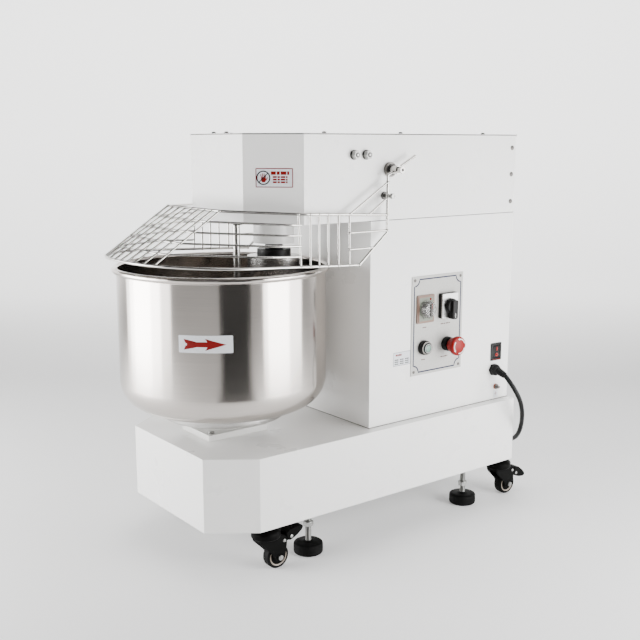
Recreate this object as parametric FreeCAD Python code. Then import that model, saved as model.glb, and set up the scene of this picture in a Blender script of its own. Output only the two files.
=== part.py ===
import FreeCAD, Part
import math
import os

# Spiral dough mixer with a turning bowl, 30 litre class, on castors and levelling feet.
# Millimetres, +Z up, floor at z = 0, X = 0 is the middle plane, the bowl end faces -Y and
# the control panel is on the +X side. The origin is on the floor under the middle of the box.

V = FreeCAD.Vector
X_AXIS = V(1, 0, 0)
Y_AXIS = V(0, 1, 0)
Z_AXIS = V(0, 0, 1)
SIDES = (1, -1)
RUNNING_FIT = 0.05          # radial clearance of a shaft in its bearing

# ---------------------------------------------------------------- driving dimensions
SHEET = 2.0                 # folded steel sheet of the casings

BASE_HALF_W = 193.0
BASE_FRONT = -376.0
BASE_BOTTOM = 90.0
BASE_TOP = 231.0
BASE_CHAMFER_X = 61.0
BASE_CHAMFER_Y = 83.0
CHASSIS_T = 6.0
CHASSIS_BOTTOM = BASE_BOTTOM + 2.0
CHASSIS_TOP = CHASSIS_BOTTOM + CHASSIS_T
REAR = 390.0                # rear face shared by the base, the column and the head

COLUMN_HALF_W = 171.4
COLUMN_FRONT = -17.0

HEAD_HALF_W = 172.9
HEAD_FRONT = -255.0
HEAD_BOTTOM = 644.0
HEAD_TOP = 808.0
HEAD_CHAMFER_X = 81.0
HEAD_CHAMFER_Y = 78.0
HEAD_PLATE_T = 10.0
LID_T = 2.0

BOWL_Y = -246.0
BOWL_R = 200.0
BOWL_WALL = 1.5
BOWL_BOTTOM = 289.0
BOWL_FILLET = 55.0
RIM_Z = 557.0
RIM_TUBE_R = 5.5
RIM_OUTER_R = 208.0
HUB_R = 119.0
HUB_BOTTOM = 268.0
BOWL_SHAFT_R = 17.5
FLANGE_SIZE = (103.0, 134.0, 12.0)
BARREL_R = 43.0

SPIRAL_Y = -124.0
SPIRAL_SHAFT_R = 15.0
HOUSING_R = 41.0
HOUSING_BOTTOM = 596.0
DISC_R = 53.0
DISC_BOTTOM = 545.0
DISC_TOP = 570.0
HOOK_ROD_R = 11.0
HOOK_LOW_R = 50.0
HOOK_HIGH_R = 42.0
HOOK_BOTTOM = 314.0
HOOK_START_TURN = math.radians(160)
BREAKER_Y = -212.0
BREAKER_R = 7.0
BREAKER_BOTTOM = 304.0

MAIN_Y = 118.0
MAIN_SHAFT_R = 14.0
JACK_Y = -66.0
JACK_SHAFT_R = 12.0
MOTOR_Y = 293.0
MOTOR_R = 72.0
MOTOR_TOP = 330.0
MOTOR_SHAFT_R = 12.0
PULLEY_Z = 362.0
PULLEY_R = 120.0
MOTOR_PULLEY_R = 26.0
PULLEY_W = 22.0
HEAD_CHAIN_Z = 704.0
MAIN_HEAD_SPROCKET_R = 35.0
SPIRAL_SPROCKET_R = 50.0
LOW_CHAIN_Z = 124.0
HIGH_CHAIN_Z = 160.0
SMALL_SPROCKET_R = 22.0
JACK_SPROCKET_R = 75.0
BOWL_SPROCKET_R = 80.0
SPROCKET_T = 6.0
LOOP_GAP = 0.5              # a belt or chain stands this far off its wheels

PIVOT_Y = 27.0
PIVOT_Z = 740.0
GUARD_X = 190.0             # centre plane of the side wires
GUARD_WIRE_R = 2.6
GUARD_THIN_R = 2.0
GUARD_SLOPE = 0.048         # the cage's hoops rise this much per unit toward the front
TOP_HOOP_Z = 655.5          # heights at the arm plane
LOW_HOOP_Z = 561.0
ARM_Y = 8.0
STOP_Y = 14.2
STOP_Z = 691.0
TOP_HOOP_FRONT = -307.0
TOP_HOOP_NOSE_X = 95.0
TOP_HOOP_BEND_Y = -187.0
LOW_HOOP_FRONT = -458.0
LOW_HOOP_CORNER_R = 168.0
LOW_HOOP_REAR = -61.0
ARM_CORNER_Z = 622.0
MIDDLE_HOOPS = 4
LATTICE_BARS = 9
SIDE_WIRES_Y = (-197.0, -176.0, -156.0, -135.0, -111.0, -85.0)
BUSH_R = 14.0
BUSH_FLANGE = 6.0
PIN_R = 6.0
STUB_R = 8.0
STUB_END = 200.0
BOLT_END = 211.0
ARM_TOP_Z = 730.0
TAIL_END = (78.0, 766.0)    # y, z of each arm's bent-back end

PANEL_Y = (92.5, 237.5)
PANEL_Z = (321.0, 526.0)
PANEL_T = 1.5
PANEL_FACE = COLUMN_HALF_W + PANEL_T
TIMER_Y = 129.0
TIMER_Z = 458.0
SELECTOR_Y = 191.0
SELECTOR_Z = 460.0
START_Y = 126.5
BUTTON_Z = 378.0
STOP_BUTTON_Y = 192.5
SWITCH_Y = (331.5, 364.0)
SWITCH_Z = (320.0, 359.0)
GLAND_Y = 341.0
GLAND_Z = 300.0
GLAND_THREAD_R = 8.0
EARTH_Y = 350.5
EARTH_Z = 260.0
STEM_R = 6.0                # stems of the two knobs

CASTOR_X = 165.0
CASTOR_STEMS_Y = {"front": -263.0, "rear": 377.0}
CASTOR_TRAIL = 22.0
WHEEL_R = 24.0
WHEEL_HALF_W = 10.0
AXLE_R = 4.0
FORK_CAP_R = 28.0
PEDAL_PIVOT_Z = 55.0
PEDAL_REST = {"front": 20.0, "rear": -26.0}   # front brakes are off, rear brakes are on
FOOT_X = 150.0
FEET_Y = {"front": -152.5, "rear": 278.0}
FOOT_NUT_Z = {"front": 55.0, "rear": 40.0}
PAD_R = 29.0
PAD_H = 24.0
FOOT_ROD_R = 6.0

CORD_D = 10.0
CORD_R = CORD_D / 2
COIL_CENTRE = (-100.0, 528.0)
COIL_MEAN_R = 50.0
COIL_LAYERS = 2
PLUG_Z = 15.0
RELIEF_START = V(184, 341, 300)
CORD_ROUTE = (
    V(204, 345, 291),
    V(231, 356.5, 258),
    V(227, 383, 205),
    V(190, 415, 138),
    V(116, 461, 98),
    V(34, 482, 31),
    V(-36, 481, CORD_R),
    V(-76, 477, CORD_R),
)

nodes = {}


# ---------------------------------------------------------------- shape helpers
def box(x_range, y_range, z_range):
    (x0, x1), (y0, y1), (z0, z1) = x_range, y_range, z_range
    return Part.makeBox(x1 - x0, y1 - y0, z1 - z0, V(x0, y0, z0))


def cylinder(radius, start, axis, length):
    return Part.makeCylinder(radius, length, V(*start), axis)


def tube(outer, inner, start, axis, length):
    hole = Part.makeCylinder(inner, length + 2, V(*start) - axis * 1, axis)
    return cylinder(outer, start, axis, length).cut(hole)


def cone(r_start, r_end, start, axis, length):
    return Part.makeCone(r_start, r_end, length, V(*start), axis)


def rod(start, end, radius):
    """A round bar between two points."""
    a, b = V(*start), V(*end)
    return Part.makeCylinder(radius, (b - a).Length, a, b - a)


def prism(outline, z0, z1):
    """A flat outline of (x, y) points raised from z0 to z1."""
    points = [V(x, y, z0) for x, y in outline]
    face = Part.Face(Part.makePolygon(points + points[:1]))
    return face.extrude(V(0, 0, z1 - z0))


def side_prism(outline, x0, x1):
    """A flat outline of (y, z) points pushed along X from x0 to x1."""
    points = [V(x0, y, z) for y, z in outline]
    face = Part.Face(Part.makePolygon(points + points[:1]))
    return face.extrude(V(x1 - x0, 0, 0))


def hexagon(across_flats, start, axis, length):
    """A hexagonal prism for nuts and bolt heads."""
    corner = across_flats / math.sqrt(3)
    points = [V(corner * math.cos(math.radians(60 * i)), corner * math.sin(math.radians(60 * i)), 0)
              for i in range(6)]
    solid = Part.Face(Part.makePolygon(points + points[:1])).extrude(V(0, 0, length))
    solid.Placement = FreeCAD.Placement(V(*start), FreeCAD.Rotation(Z_AXIS, axis))
    return solid


def dome(radius, height, base, axis):
    """The rounded cap of a dome-head screw or a pad: a slice of a sphere."""
    ball_r = (radius * radius + height * height) / (2 * height)
    ball = Part.makeSphere(ball_r, V(*base) - axis * (ball_r - height))
    return ball.common(cylinder(radius, base, axis, height))


def mirrored(shape):
    """The same shape on the other side of the middle plane."""
    return shape.mirror(V(0, 0, 0), X_AXIS)


def both_sides(shape):
    return [shape, mirrored(shape)]


def bent_wire(points, radii):
    """Straight runs joined by tangent arcs: radii[i] rounds the corner at points[i + 1]."""
    edges = []
    start = points[0]
    for before, corner, after, radius in zip(points, points[1:], points[2:], radii):
        back = (before - corner).normalize()
        ahead = (after - corner).normalize()
        half = back.getAngle(ahead) / 2
        setback = radius / math.tan(half)
        first = corner + back * setback
        last = corner + ahead * setback
        middle_axis = (back + ahead).normalize()
        middle = corner + middle_axis * (radius / math.sin(half) - radius)
        edges.append(Part.LineSegment(start, first).toShape())
        edges.append(Part.Arc(first, middle, last).toShape())
        start = last
    edges.append(Part.LineSegment(start, points[-1]).toShape())
    return Part.Wire(edges)


def arc_radii(points, share):
    """Radius of a tangent arc at each corner, as a share of the shorter run beside it."""
    radii = []
    for before, corner, after in zip(points, points[1:], points[2:]):
        first, second = corner - before, after - corner
        radii.append(share * min(first.Length, second.Length) / math.tan(first.getAngle(second) / 2))
    return radii


def swept(wire, radius):
    """A round wire of the given radius along a smooth path."""
    first = wire.OrderedEdges[0]
    at = first.valueAt(first.FirstParameter)
    along = first.tangentAt(first.FirstParameter)
    profile = Part.Wire([Part.Circle(at, along, radius).toShape()])
    return wire.makePipeShell([profile], True, False)


def loop(centre_a, r_a, centre_b, r_b, z0, z1, thickness):
    """A belt or chain drawn tight round two wheels, as a closed band of even thickness."""
    def outline(extra):
        ra, rb = r_a + extra, r_b + extra
        ya, yb = centre_a, centre_b
        gap = yb - ya
        lean = math.asin((ra - rb) / gap)
        a_side = V(ra * math.cos(lean), ya + ra * math.sin(lean), z0)
        b_side = V(rb * math.cos(lean), yb + rb * math.sin(lean), z0)
        a_other = V(-a_side.x, a_side.y, z0)
        b_other = V(-b_side.x, b_side.y, z0)
        edges = [
            Part.LineSegment(a_side, b_side).toShape(),
            Part.Arc(b_side, V(0, yb + rb, z0), b_other).toShape(),
            Part.LineSegment(b_other, a_other).toShape(),
            Part.Arc(a_other, V(0, ya - ra, z0), a_side).toShape(),
        ]
        return Part.Face(Part.Wire(edges)).extrude(V(0, 0, z1 - z0))
    return outline(thickness).cut(outline(0))


def fused(shapes):
    whole = shapes[0]
    for other in shapes[1:]:
        whole = whole.fuse(other)
    return whole.removeSplitter()


def add(name, *shapes):
    """Keep one or more separate solids as one named node."""
    nodes[name] = shapes[0] if len(shapes) == 1 else Part.makeCompound(list(shapes))


def nose_outline(half_w, front, chamfer_x, chamfer_y, rear, inset=0.0):
    """Plan outline with a chamfered front, moved inward by inset."""
    slant = inset * math.tan(math.atan2(chamfer_x, chamfer_y) / 2)
    turn = inset * math.tan(math.atan2(chamfer_y, chamfer_x) / 2)
    w = half_w - inset
    nose = half_w - chamfer_x - turn
    bend = front + chamfer_y + slant
    return [(w, rear), (w, bend), (nose, front + inset), (-nose, front + inset), (-w, bend), (-w, rear)]


# ---------------------------------------------------------------- base
def make_base():
    plan = (BASE_HALF_W, BASE_FRONT, BASE_CHAMFER_X, BASE_CHAMFER_Y)
    shell = prism(nose_outline(*plan, REAR), BASE_BOTTOM, BASE_TOP)
    inside = prism(nose_outline(*plan, REAR - SHEET, SHEET), BASE_BOTTOM - 1, BASE_TOP - SHEET)
    column_hole = box((-150, 150), (COLUMN_FRONT + 22, REAR - 14), (BASE_TOP - 10, BASE_TOP + 1))
    barrel_hole = cylinder(BARREL_R, (0, BOWL_Y, BASE_TOP - 10), Z_AXIS, 11)
    add("base_shell", shell.cut(inside).cut(column_hole).cut(barrel_hole))

    plate = prism(nose_outline(*plan, REAR - SHEET, SHEET), CHASSIS_BOTTOM, CHASSIS_TOP)
    for side in SIDES:
        for y in CASTOR_STEMS_Y.values():
            hole = cylinder(FOOT_ROD_R + RUNNING_FIT, (side * CASTOR_X, y, BASE_BOTTOM), Z_AXIS, 20)
            plate = plate.cut(hole)
        for y in FEET_Y.values():
            hole = cylinder(FOOT_ROD_R + RUNNING_FIT, (side * FOOT_X, y, BASE_BOTTOM), Z_AXIS, 20)
            plate = plate.cut(hole)
    add("chassis_plate", plate)


# ---------------------------------------------------------------- column and head casings
def make_column():
    outer = box((-COLUMN_HALF_W, COLUMN_HALF_W), (COLUMN_FRONT, REAR - SHEET), (BASE_TOP, HEAD_BOTTOM))
    inner_w = COLUMN_HALF_W - SHEET
    inner = box((-inner_w, inner_w), (COLUMN_FRONT + SHEET, REAR), (BASE_TOP - 1, HEAD_BOTTOM + 1))
    shell = outer.cut(inner)
    cut_depth = (COLUMN_HALF_W - 20, COLUMN_HALF_W + 10)
    shell = shell.cut(box(cut_depth, (SWITCH_Y[0] + 3, SWITCH_Y[1] - 3), (SWITCH_Z[0] + 3, SWITCH_Z[1] - 3)))
    for y, z, radius in control_holes():
        shell = shell.cut(cylinder(radius, (COLUMN_HALF_W - 20, y, z), X_AXIS, 30))
    shell = shell.cut(cylinder(GLAND_THREAD_R, (COLUMN_HALF_W - 20, GLAND_Y, GLAND_Z), X_AXIS, 30))
    add("column_shell", shell)


def make_head():
    plan = (HEAD_HALF_W, HEAD_FRONT, HEAD_CHAMFER_X, HEAD_CHAMFER_Y)
    shell_top = HEAD_TOP - LID_T
    outer = prism(nose_outline(*plan, REAR - SHEET), HEAD_BOTTOM, shell_top)
    inner = prism(nose_outline(*plan, REAR, SHEET), HEAD_BOTTOM - 1, shell_top + 1)
    shell = outer.cut(inner)
    plate = prism(nose_outline(*plan, REAR - SHEET, SHEET), HEAD_BOTTOM, HEAD_BOTTOM + HEAD_PLATE_T)
    plate = plate.cut(cylinder(HOUSING_R, (0, SPIRAL_Y, HEAD_BOTTOM - 1), Z_AXIS, HEAD_PLATE_T + 2))
    plate = plate.cut(cylinder(MAIN_SHAFT_R + 6, (0, MAIN_Y, HEAD_BOTTOM - 1), Z_AXIS, HEAD_PLATE_T + 2))
    plate = plate.cut(cylinder(BREAKER_R, (0, BREAKER_Y, HEAD_BOTTOM - 1), Z_AXIS, HEAD_PLATE_T + 2))
    for side in SIDES:
        hole = cylinder(BUSH_R, (side * (HEAD_HALF_W - 10), PIVOT_Y, PIVOT_Z), X_AXIS * side, 20)
        shell = shell.cut(hole)
    add("head_shell", shell)
    add("head_plate", plate)
    add("head_lid", prism(nose_outline(*plan, REAR), shell_top, HEAD_TOP))

    cover_w = HEAD_HALF_W - SHEET
    cover = box((-cover_w, cover_w), (REAR - SHEET, REAR), (BASE_TOP, shell_top))
    lips = []
    for x0, x1 in ((cover_w - SHEET, cover_w), (-cover_w, SHEET - cover_w)):
        lips.append(box((x0, x1), (REAR - 26, REAR - SHEET), (HEAD_BOTTOM + HEAD_PLATE_T, shell_top)))
    add("rear_cover", fused([cover] + lips))


def dome_screw(head_at, axis, head_r=5.0, head_h=2.6, shank_r=2.0, shank=6.0):
    """A dome-head screw whose head sits on a face at head_at, axis pointing outward."""
    head = dome(head_r, head_h, head_at, axis)
    start = V(*head_at) - axis * shank
    return head.fuse(Part.makeCylinder(shank_r, shank + 0.5, start, axis))


def make_screws():
    heads = []
    for z in (667.0, 724.5, 780.0):
        heads += both_sides(dome_screw((HEAD_HALF_W, REAR - 14, z), X_AXIS, shank=SHEET + 1))
    for y in (-120.0, 68.0, 300.0):
        heads += both_sides(dome_screw((158, y, HEAD_TOP), Z_AXIS, 4.5, 3.4, shank=LID_T))
    for x in (-20.0, 25.0):
        heads.append(dome_screw((x, HEAD_FRONT + 9, HEAD_TOP), Z_AXIS, 4.5, 3.4, shank=LID_T))
    inset = 8.0
    for y in (PANEL_Y[0] + inset, PANEL_Y[1] - inset):
        for z in (PANEL_Z[0] + inset, PANEL_Z[1] - inset):
            heads.append(dome_screw((PANEL_FACE, y, z), X_AXIS, 3.2, 1.6, 1.6, PANEL_T))
    for z in (270.0, 430.0, 600.0):
        heads += both_sides(dome_screw((150, REAR, z), Y_AXIS, 5.0, 2.6, shank=SHEET))
    add("cover_screws", *heads)


# ---------------------------------------------------------------- bowl and its drive
def make_bowl():
    rim_r = RIM_OUTER_R - RIM_TUBE_R
    outer = turned_pot(BOWL_R, BOWL_FILLET, BOWL_BOTTOM, RIM_Z)
    inner = turned_pot(BOWL_R - BOWL_WALL, BOWL_FILLET - BOWL_WALL, BOWL_BOTTOM + BOWL_WALL, RIM_Z + 5)
    wall = outer.cut(inner)
    rim = Part.makeTorus(rim_r, RIM_TUBE_R, V(0, BOWL_Y, RIM_Z))
    add("bowl", wall.fuse(rim))

    hub = cylinder(HUB_R, (0, BOWL_Y, HUB_BOTTOM), Z_AXIS, BOWL_BOTTOM - HUB_BOTTOM)
    hub = hub.cut(cylinder(BOWL_SHAFT_R, (0, BOWL_Y, HUB_BOTTOM - 1), Z_AXIS, 15))
    add("bowl_hub", hub)

    shaft = cylinder(BOWL_SHAFT_R, (0, BOWL_Y, CHASSIS_TOP + 6), Z_AXIS, HUB_BOTTOM + 14 - CHASSIS_TOP - 6)
    sprocket_z = HIGH_CHAIN_Z - SPROCKET_T / 2
    sprocket = cylinder(BOWL_SPROCKET_R, (0, BOWL_Y, sprocket_z), Z_AXIS, SPROCKET_T)
    boss = cylinder(28, (0, BOWL_Y, sprocket_z - 8), Z_AXIS, 8)
    add("bowl_shaft", fused([shaft, sprocket, boss]))

    half_x, half_y = FLANGE_SIZE[0] / 2, FLANGE_SIZE[1] / 2
    flange = box((-half_x, half_x), (BOWL_Y - half_y, BOWL_Y + half_y), (BASE_TOP, BASE_TOP + FLANGE_SIZE[2]))
    neck = cylinder(BARREL_R, (0, BOWL_Y, BASE_TOP), Z_AXIS, HUB_BOTTOM - 4 - BASE_TOP)
    barrel = cylinder(BARREL_R, (0, BOWL_Y, HIGH_CHAIN_Z + 12), Z_AXIS, BASE_TOP - HIGH_CHAIN_Z - 12)
    housing = fused([flange, neck, barrel])
    housing = housing.cut(cylinder(BOWL_SHAFT_R + 10, (0, BOWL_Y, BASE_BOTTOM), Z_AXIS, 200))
    add("bowl_housing", housing)


def turned_pot(radius, fillet, bottom, top):
    """A solid pot turned round the bowl's axis, with a rounded bottom edge."""
    flat = radius - fillet
    side_low = bottom + fillet
    reach = fillet * math.sqrt(0.5)
    arc = Part.Arc(V(flat, 0, bottom), V(flat + reach, 0, side_low - reach), V(radius, 0, side_low))
    edges = [
        Part.LineSegment(V(0, 0, bottom), V(flat, 0, bottom)).toShape(),
        arc.toShape(),
        Part.LineSegment(V(radius, 0, side_low), V(radius, 0, top)).toShape(),
        Part.LineSegment(V(radius, 0, top), V(0, 0, top)).toShape(),
        Part.LineSegment(V(0, 0, top), V(0, 0, bottom)).toShape(),
    ]
    pot = Part.Face(Part.Wire(edges)).revolve(V(0, 0, 0), Z_AXIS, 360)
    pot.translate(V(0, BOWL_Y, 0))
    return pot


# ---------------------------------------------------------------- spiral and breaker bar
def make_spiral():
    steps = 13
    step_turn = math.radians(36)
    rise = (DISC_BOTTOM - HOOK_ROD_R - HOOK_BOTTOM) / steps
    points = []
    for i in range(steps + 1):
        radius = HOOK_LOW_R + (HOOK_HIGH_R - HOOK_LOW_R) * i / steps
        turn = HOOK_START_TURN + i * step_turn
        points.append(V(radius * math.cos(turn), SPIRAL_Y + radius * math.sin(turn), HOOK_BOTTOM + i * rise))
    points.append(points[-1] + V(0, 0, 30))
    coil = swept(bent_wire(points, arc_radii(points, 0.48)), HOOK_ROD_R)
    disc = cylinder(DISC_R, (0, SPIRAL_Y, DISC_BOTTOM), Z_AXIS, DISC_TOP - DISC_BOTTOM)
    add("spiral_hook", fused([disc, coil]))

    seal_disc = cylinder(34, (0, SPIRAL_Y, DISC_TOP), Z_AXIS, 14)
    collar = cylinder(18, (0, SPIRAL_Y, DISC_TOP + 14), Z_AXIS, HOUSING_BOTTOM - 1 - DISC_TOP - 14)
    bore = cylinder(SPIRAL_SHAFT_R, (0, SPIRAL_Y, DISC_TOP - 1), Z_AXIS, 60)
    add("spiral_seal", seal_disc.fuse(collar).cut(bore))

    shaft = cylinder(SPIRAL_SHAFT_R, (0, SPIRAL_Y, DISC_TOP), Z_AXIS, HEAD_CHAIN_Z + 26 - DISC_TOP)
    sprocket_z = HEAD_CHAIN_Z - SPROCKET_T / 2
    sprocket = cylinder(SPIRAL_SPROCKET_R, (0, SPIRAL_Y, sprocket_z), Z_AXIS, SPROCKET_T)
    boss = cylinder(26, (0, SPIRAL_Y, sprocket_z + SPROCKET_T), Z_AXIS, 12)
    add("spiral_shaft", fused([shaft, sprocket, boss]))

    barrel = cylinder(HOUSING_R, (0, SPIRAL_Y, HOUSING_BOTTOM), Z_AXIS, 86)
    collar = tube(62, HOUSING_R, (0, SPIRAL_Y, HEAD_BOTTOM + HEAD_PLATE_T), Z_AXIS, 12)
    housing = fused([barrel, collar])
    add("spiral_housing", housing.cut(cylinder(SPIRAL_SHAFT_R + 9, (0, SPIRAL_Y, 500), Z_AXIS, 300)))

    bar_top = HEAD_BOTTOM + HEAD_PLATE_T + 6
    bar = cylinder(BREAKER_R, (0, BREAKER_Y, BREAKER_BOTTOM), Z_AXIS, bar_top - BREAKER_BOTTOM)
    nut = hexagon(22, (0, BREAKER_Y, HEAD_BOTTOM - 9), Z_AXIS, 9)
    add("breaker_bar", fused([bar, nut]))


# ---------------------------------------------------------------- motor, shafts, belt, chains
def make_drive():
    body = cylinder(MOTOR_R, (0, MOTOR_Y, CHASSIS_TOP + 10), Z_AXIS, MOTOR_TOP - CHASSIS_TOP - 10)
    feet = box((-78, 78), (MOTOR_Y - 78, MOTOR_Y + 78), (CHASSIS_TOP, CHASSIS_TOP + 10))
    fins = []
    for i in range(18):
        fin = box((MOTOR_R - 3, MOTOR_R + 5), (-1.2, 1.2), (CHASSIS_TOP + 30, MOTOR_TOP - 20))
        fin.rotate(V(0, 0, 0), Z_AXIS, 20 * i)
        fin.translate(V(0, MOTOR_Y, 0))
        fins.append(fin)
    bore = cylinder(MOTOR_SHAFT_R + RUNNING_FIT, (0, MOTOR_Y, MOTOR_TOP - 40), Z_AXIS, 60)
    add("motor", fused([body, feet] + fins).cut(bore))

    pulley_low = PULLEY_Z - PULLEY_W / 2
    spindle = cylinder(MOTOR_SHAFT_R, (0, MOTOR_Y, MOTOR_TOP - 39), Z_AXIS, PULLEY_Z + 14 - MOTOR_TOP + 39)
    add("motor_pulley", fused([spindle, grooved_wheel(MOTOR_PULLEY_R, MOTOR_Y, pulley_low)]))

    bottom = CHASSIS_TOP + 6
    shaft = cylinder(MAIN_SHAFT_R, (0, MAIN_Y, bottom), Z_AXIS, HEAD_CHAIN_Z + 24 - bottom)
    pulley = grooved_wheel(PULLEY_R, MAIN_Y, pulley_low)
    upper = cylinder(MAIN_HEAD_SPROCKET_R, (0, MAIN_Y, HEAD_CHAIN_Z - SPROCKET_T / 2), Z_AXIS, SPROCKET_T)
    lower = cylinder(SMALL_SPROCKET_R, (0, MAIN_Y, LOW_CHAIN_Z - SPROCKET_T / 2), Z_AXIS, SPROCKET_T)
    add("main_shaft", fused([shaft, pulley, upper, lower]))

    shaft = cylinder(JACK_SHAFT_R, (0, JACK_Y, bottom), Z_AXIS, HIGH_CHAIN_Z + 40 - bottom)
    large = cylinder(JACK_SPROCKET_R, (0, JACK_Y, LOW_CHAIN_Z - SPROCKET_T / 2), Z_AXIS, SPROCKET_T)
    small = cylinder(SMALL_SPROCKET_R, (0, JACK_Y, HIGH_CHAIN_Z - SPROCKET_T / 2), Z_AXIS, SPROCKET_T)
    add("jackshaft", fused([shaft, large, small]))

    belt_half = 6.5
    groove = 8.0
    add("drive_belt", loop(MAIN_Y, PULLEY_R - groove + LOOP_GAP, MOTOR_Y, MOTOR_PULLEY_R - groove + LOOP_GAP,
                           PULLEY_Z - belt_half, PULLEY_Z + belt_half, groove))
    chain_half = 5.0
    chains = []
    for y_a, r_a, y_b, r_b, z in (
        (SPIRAL_Y, SPIRAL_SPROCKET_R, MAIN_Y, MAIN_HEAD_SPROCKET_R, HEAD_CHAIN_Z),
        (JACK_Y, JACK_SPROCKET_R, MAIN_Y, SMALL_SPROCKET_R, LOW_CHAIN_Z),
        (BOWL_Y, BOWL_SPROCKET_R, JACK_Y, SMALL_SPROCKET_R, HIGH_CHAIN_Z),
    ):
        chains.append(loop(y_a, r_a + LOOP_GAP, y_b, r_b + LOOP_GAP, z - chain_half, z + chain_half, 6.0))
    add("drive_chains", *chains)


def grooved_wheel(radius, y, z_low):
    """A pulley with one belt groove between two flanges."""
    wheel = cylinder(radius, (0, y, z_low), Z_AXIS, PULLEY_W)
    groove_half = 7.5
    middle = z_low + PULLEY_W / 2
    ring = tube(radius + 5, radius - 8, (0, y, middle - groove_half), Z_AXIS, 2 * groove_half)
    return wheel.cut(ring)


def make_bearings():
    rings = []
    for y, z, shaft_r, outer in (
        (BOWL_Y, CHASSIS_TOP, BOWL_SHAFT_R, 34.0),
        (BOWL_Y, HUB_BOTTOM - 24, BOWL_SHAFT_R, BOWL_SHAFT_R + 10),
        (BOWL_Y, HIGH_CHAIN_Z + 14, BOWL_SHAFT_R, BOWL_SHAFT_R + 10),
        (SPIRAL_Y, HOUSING_BOTTOM + 4, SPIRAL_SHAFT_R, SPIRAL_SHAFT_R + 9),
        (SPIRAL_Y, HOUSING_BOTTOM + 62, SPIRAL_SHAFT_R, SPIRAL_SHAFT_R + 9),
        (MAIN_Y, CHASSIS_TOP, MAIN_SHAFT_R, 30.0),
        (MAIN_Y, HEAD_BOTTOM + HEAD_PLATE_T, MAIN_SHAFT_R, 30.0),
        (JACK_Y, CHASSIS_TOP, JACK_SHAFT_R, 27.0),
        (JACK_Y, HIGH_CHAIN_Z + 20, JACK_SHAFT_R, 27.0),
    ):
        rings.append(tube(outer, shaft_r + RUNNING_FIT, (0, y, z), Z_AXIS, 16))
    bracket_low = HIGH_CHAIN_Z + 36
    bracket_height = BASE_TOP - SHEET - bracket_low
    rings.append(tube(27, JACK_SHAFT_R + 3, (0, JACK_Y, bracket_low), Z_AXIS, bracket_height))
    add("shaft_bearings", *rings)


# ---------------------------------------------------------------- wire guard
def on_hoop(plane_z, y):
    """Height of a sloping hoop at a given y."""
    return plane_z + GUARD_SLOPE * (ARM_Y - y)


def hoop_point(plane_z, x, y):
    return V(x, y, on_hoop(plane_z, y))


def mirrored_run(half_points):
    """A route that runs along one side and comes back mirrored along the other."""
    return half_points + [V(-p.x, p.y, p.z) for p in reversed(half_points)]


def top_hoop(wire_r):
    """The top hoop: straight sides, slanted shoulders and a front bar, like the head's nose."""
    points = mirrored_run([
        hoop_point(TOP_HOOP_Z, GUARD_X, ARM_Y),
        hoop_point(TOP_HOOP_Z, GUARD_X, TOP_HOOP_BEND_Y),
        hoop_point(TOP_HOOP_Z, TOP_HOOP_NOSE_X, TOP_HOOP_FRONT),
    ])
    return swept(bent_wire(points, [40, 40, 40, 40]), wire_r)


def bar_x(index):
    """x of a front lattice bar."""
    return TOP_HOOP_NOSE_X - index * 2 * TOP_HOOP_NOSE_X / (LATTICE_BARS - 1)


def middle_hoop(share, wire_r):
    """A thin hoop between the top (share 0) and bottom (share 1) ones, welded to the bars it crosses."""
    z = TOP_HOOP_Z + share * (LOW_HOOP_Z - TOP_HOOP_Z)
    low_bend = LOW_HOOP_FRONT + LOW_HOOP_CORNER_R
    bend = TOP_HOOP_BEND_Y + share * (low_bend - TOP_HOOP_BEND_Y)
    half = [hoop_point(z, GUARD_X, SIDE_WIRES_Y[0]), hoop_point(z, GUARD_X, min(bend, SIDE_WIRES_Y[0] - 25))]
    for i in (0, 2):
        y = TOP_HOOP_FRONT + share * (low_hoop_y(bar_x(i)) - TOP_HOOP_FRONT)
        half.append(hoop_point(z, bar_x(i), y))
    points = mirrored_run(half)
    return swept(bent_wire(points, arc_radii(points, 0.45)), wire_r)


def round_hoop(plane_z, rear_y, wire_r):
    """The bottom hoop: straight sides into quarter rounds and a short front bar."""
    corners = [hoop_point(plane_z, GUARD_X, rear_y), hoop_point(plane_z, GUARD_X, LOW_HOOP_FRONT),
               hoop_point(plane_z, -GUARD_X, LOW_HOOP_FRONT), hoop_point(plane_z, -GUARD_X, rear_y)]
    return swept(bent_wire(corners, [LOW_HOOP_CORNER_R, LOW_HOOP_CORNER_R]), wire_r)


def low_hoop_y(x):
    """y of the bottom hoop's front stretch at a given x."""
    flat = GUARD_X - LOW_HOOP_CORNER_R
    beyond = max(abs(x) - flat, 0.0)
    return LOW_HOOP_FRONT + LOW_HOOP_CORNER_R - math.sqrt(LOW_HOOP_CORNER_R ** 2 - beyond ** 2)


def top_hoop_x(y):
    """x of the top hoop's side at a given y."""
    if y >= TOP_HOOP_BEND_Y:
        return GUARD_X
    share = (TOP_HOOP_BEND_Y - y) / (TOP_HOOP_BEND_Y - TOP_HOOP_FRONT)
    return GUARD_X - share * (GUARD_X - TOP_HOOP_NOSE_X)


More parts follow.
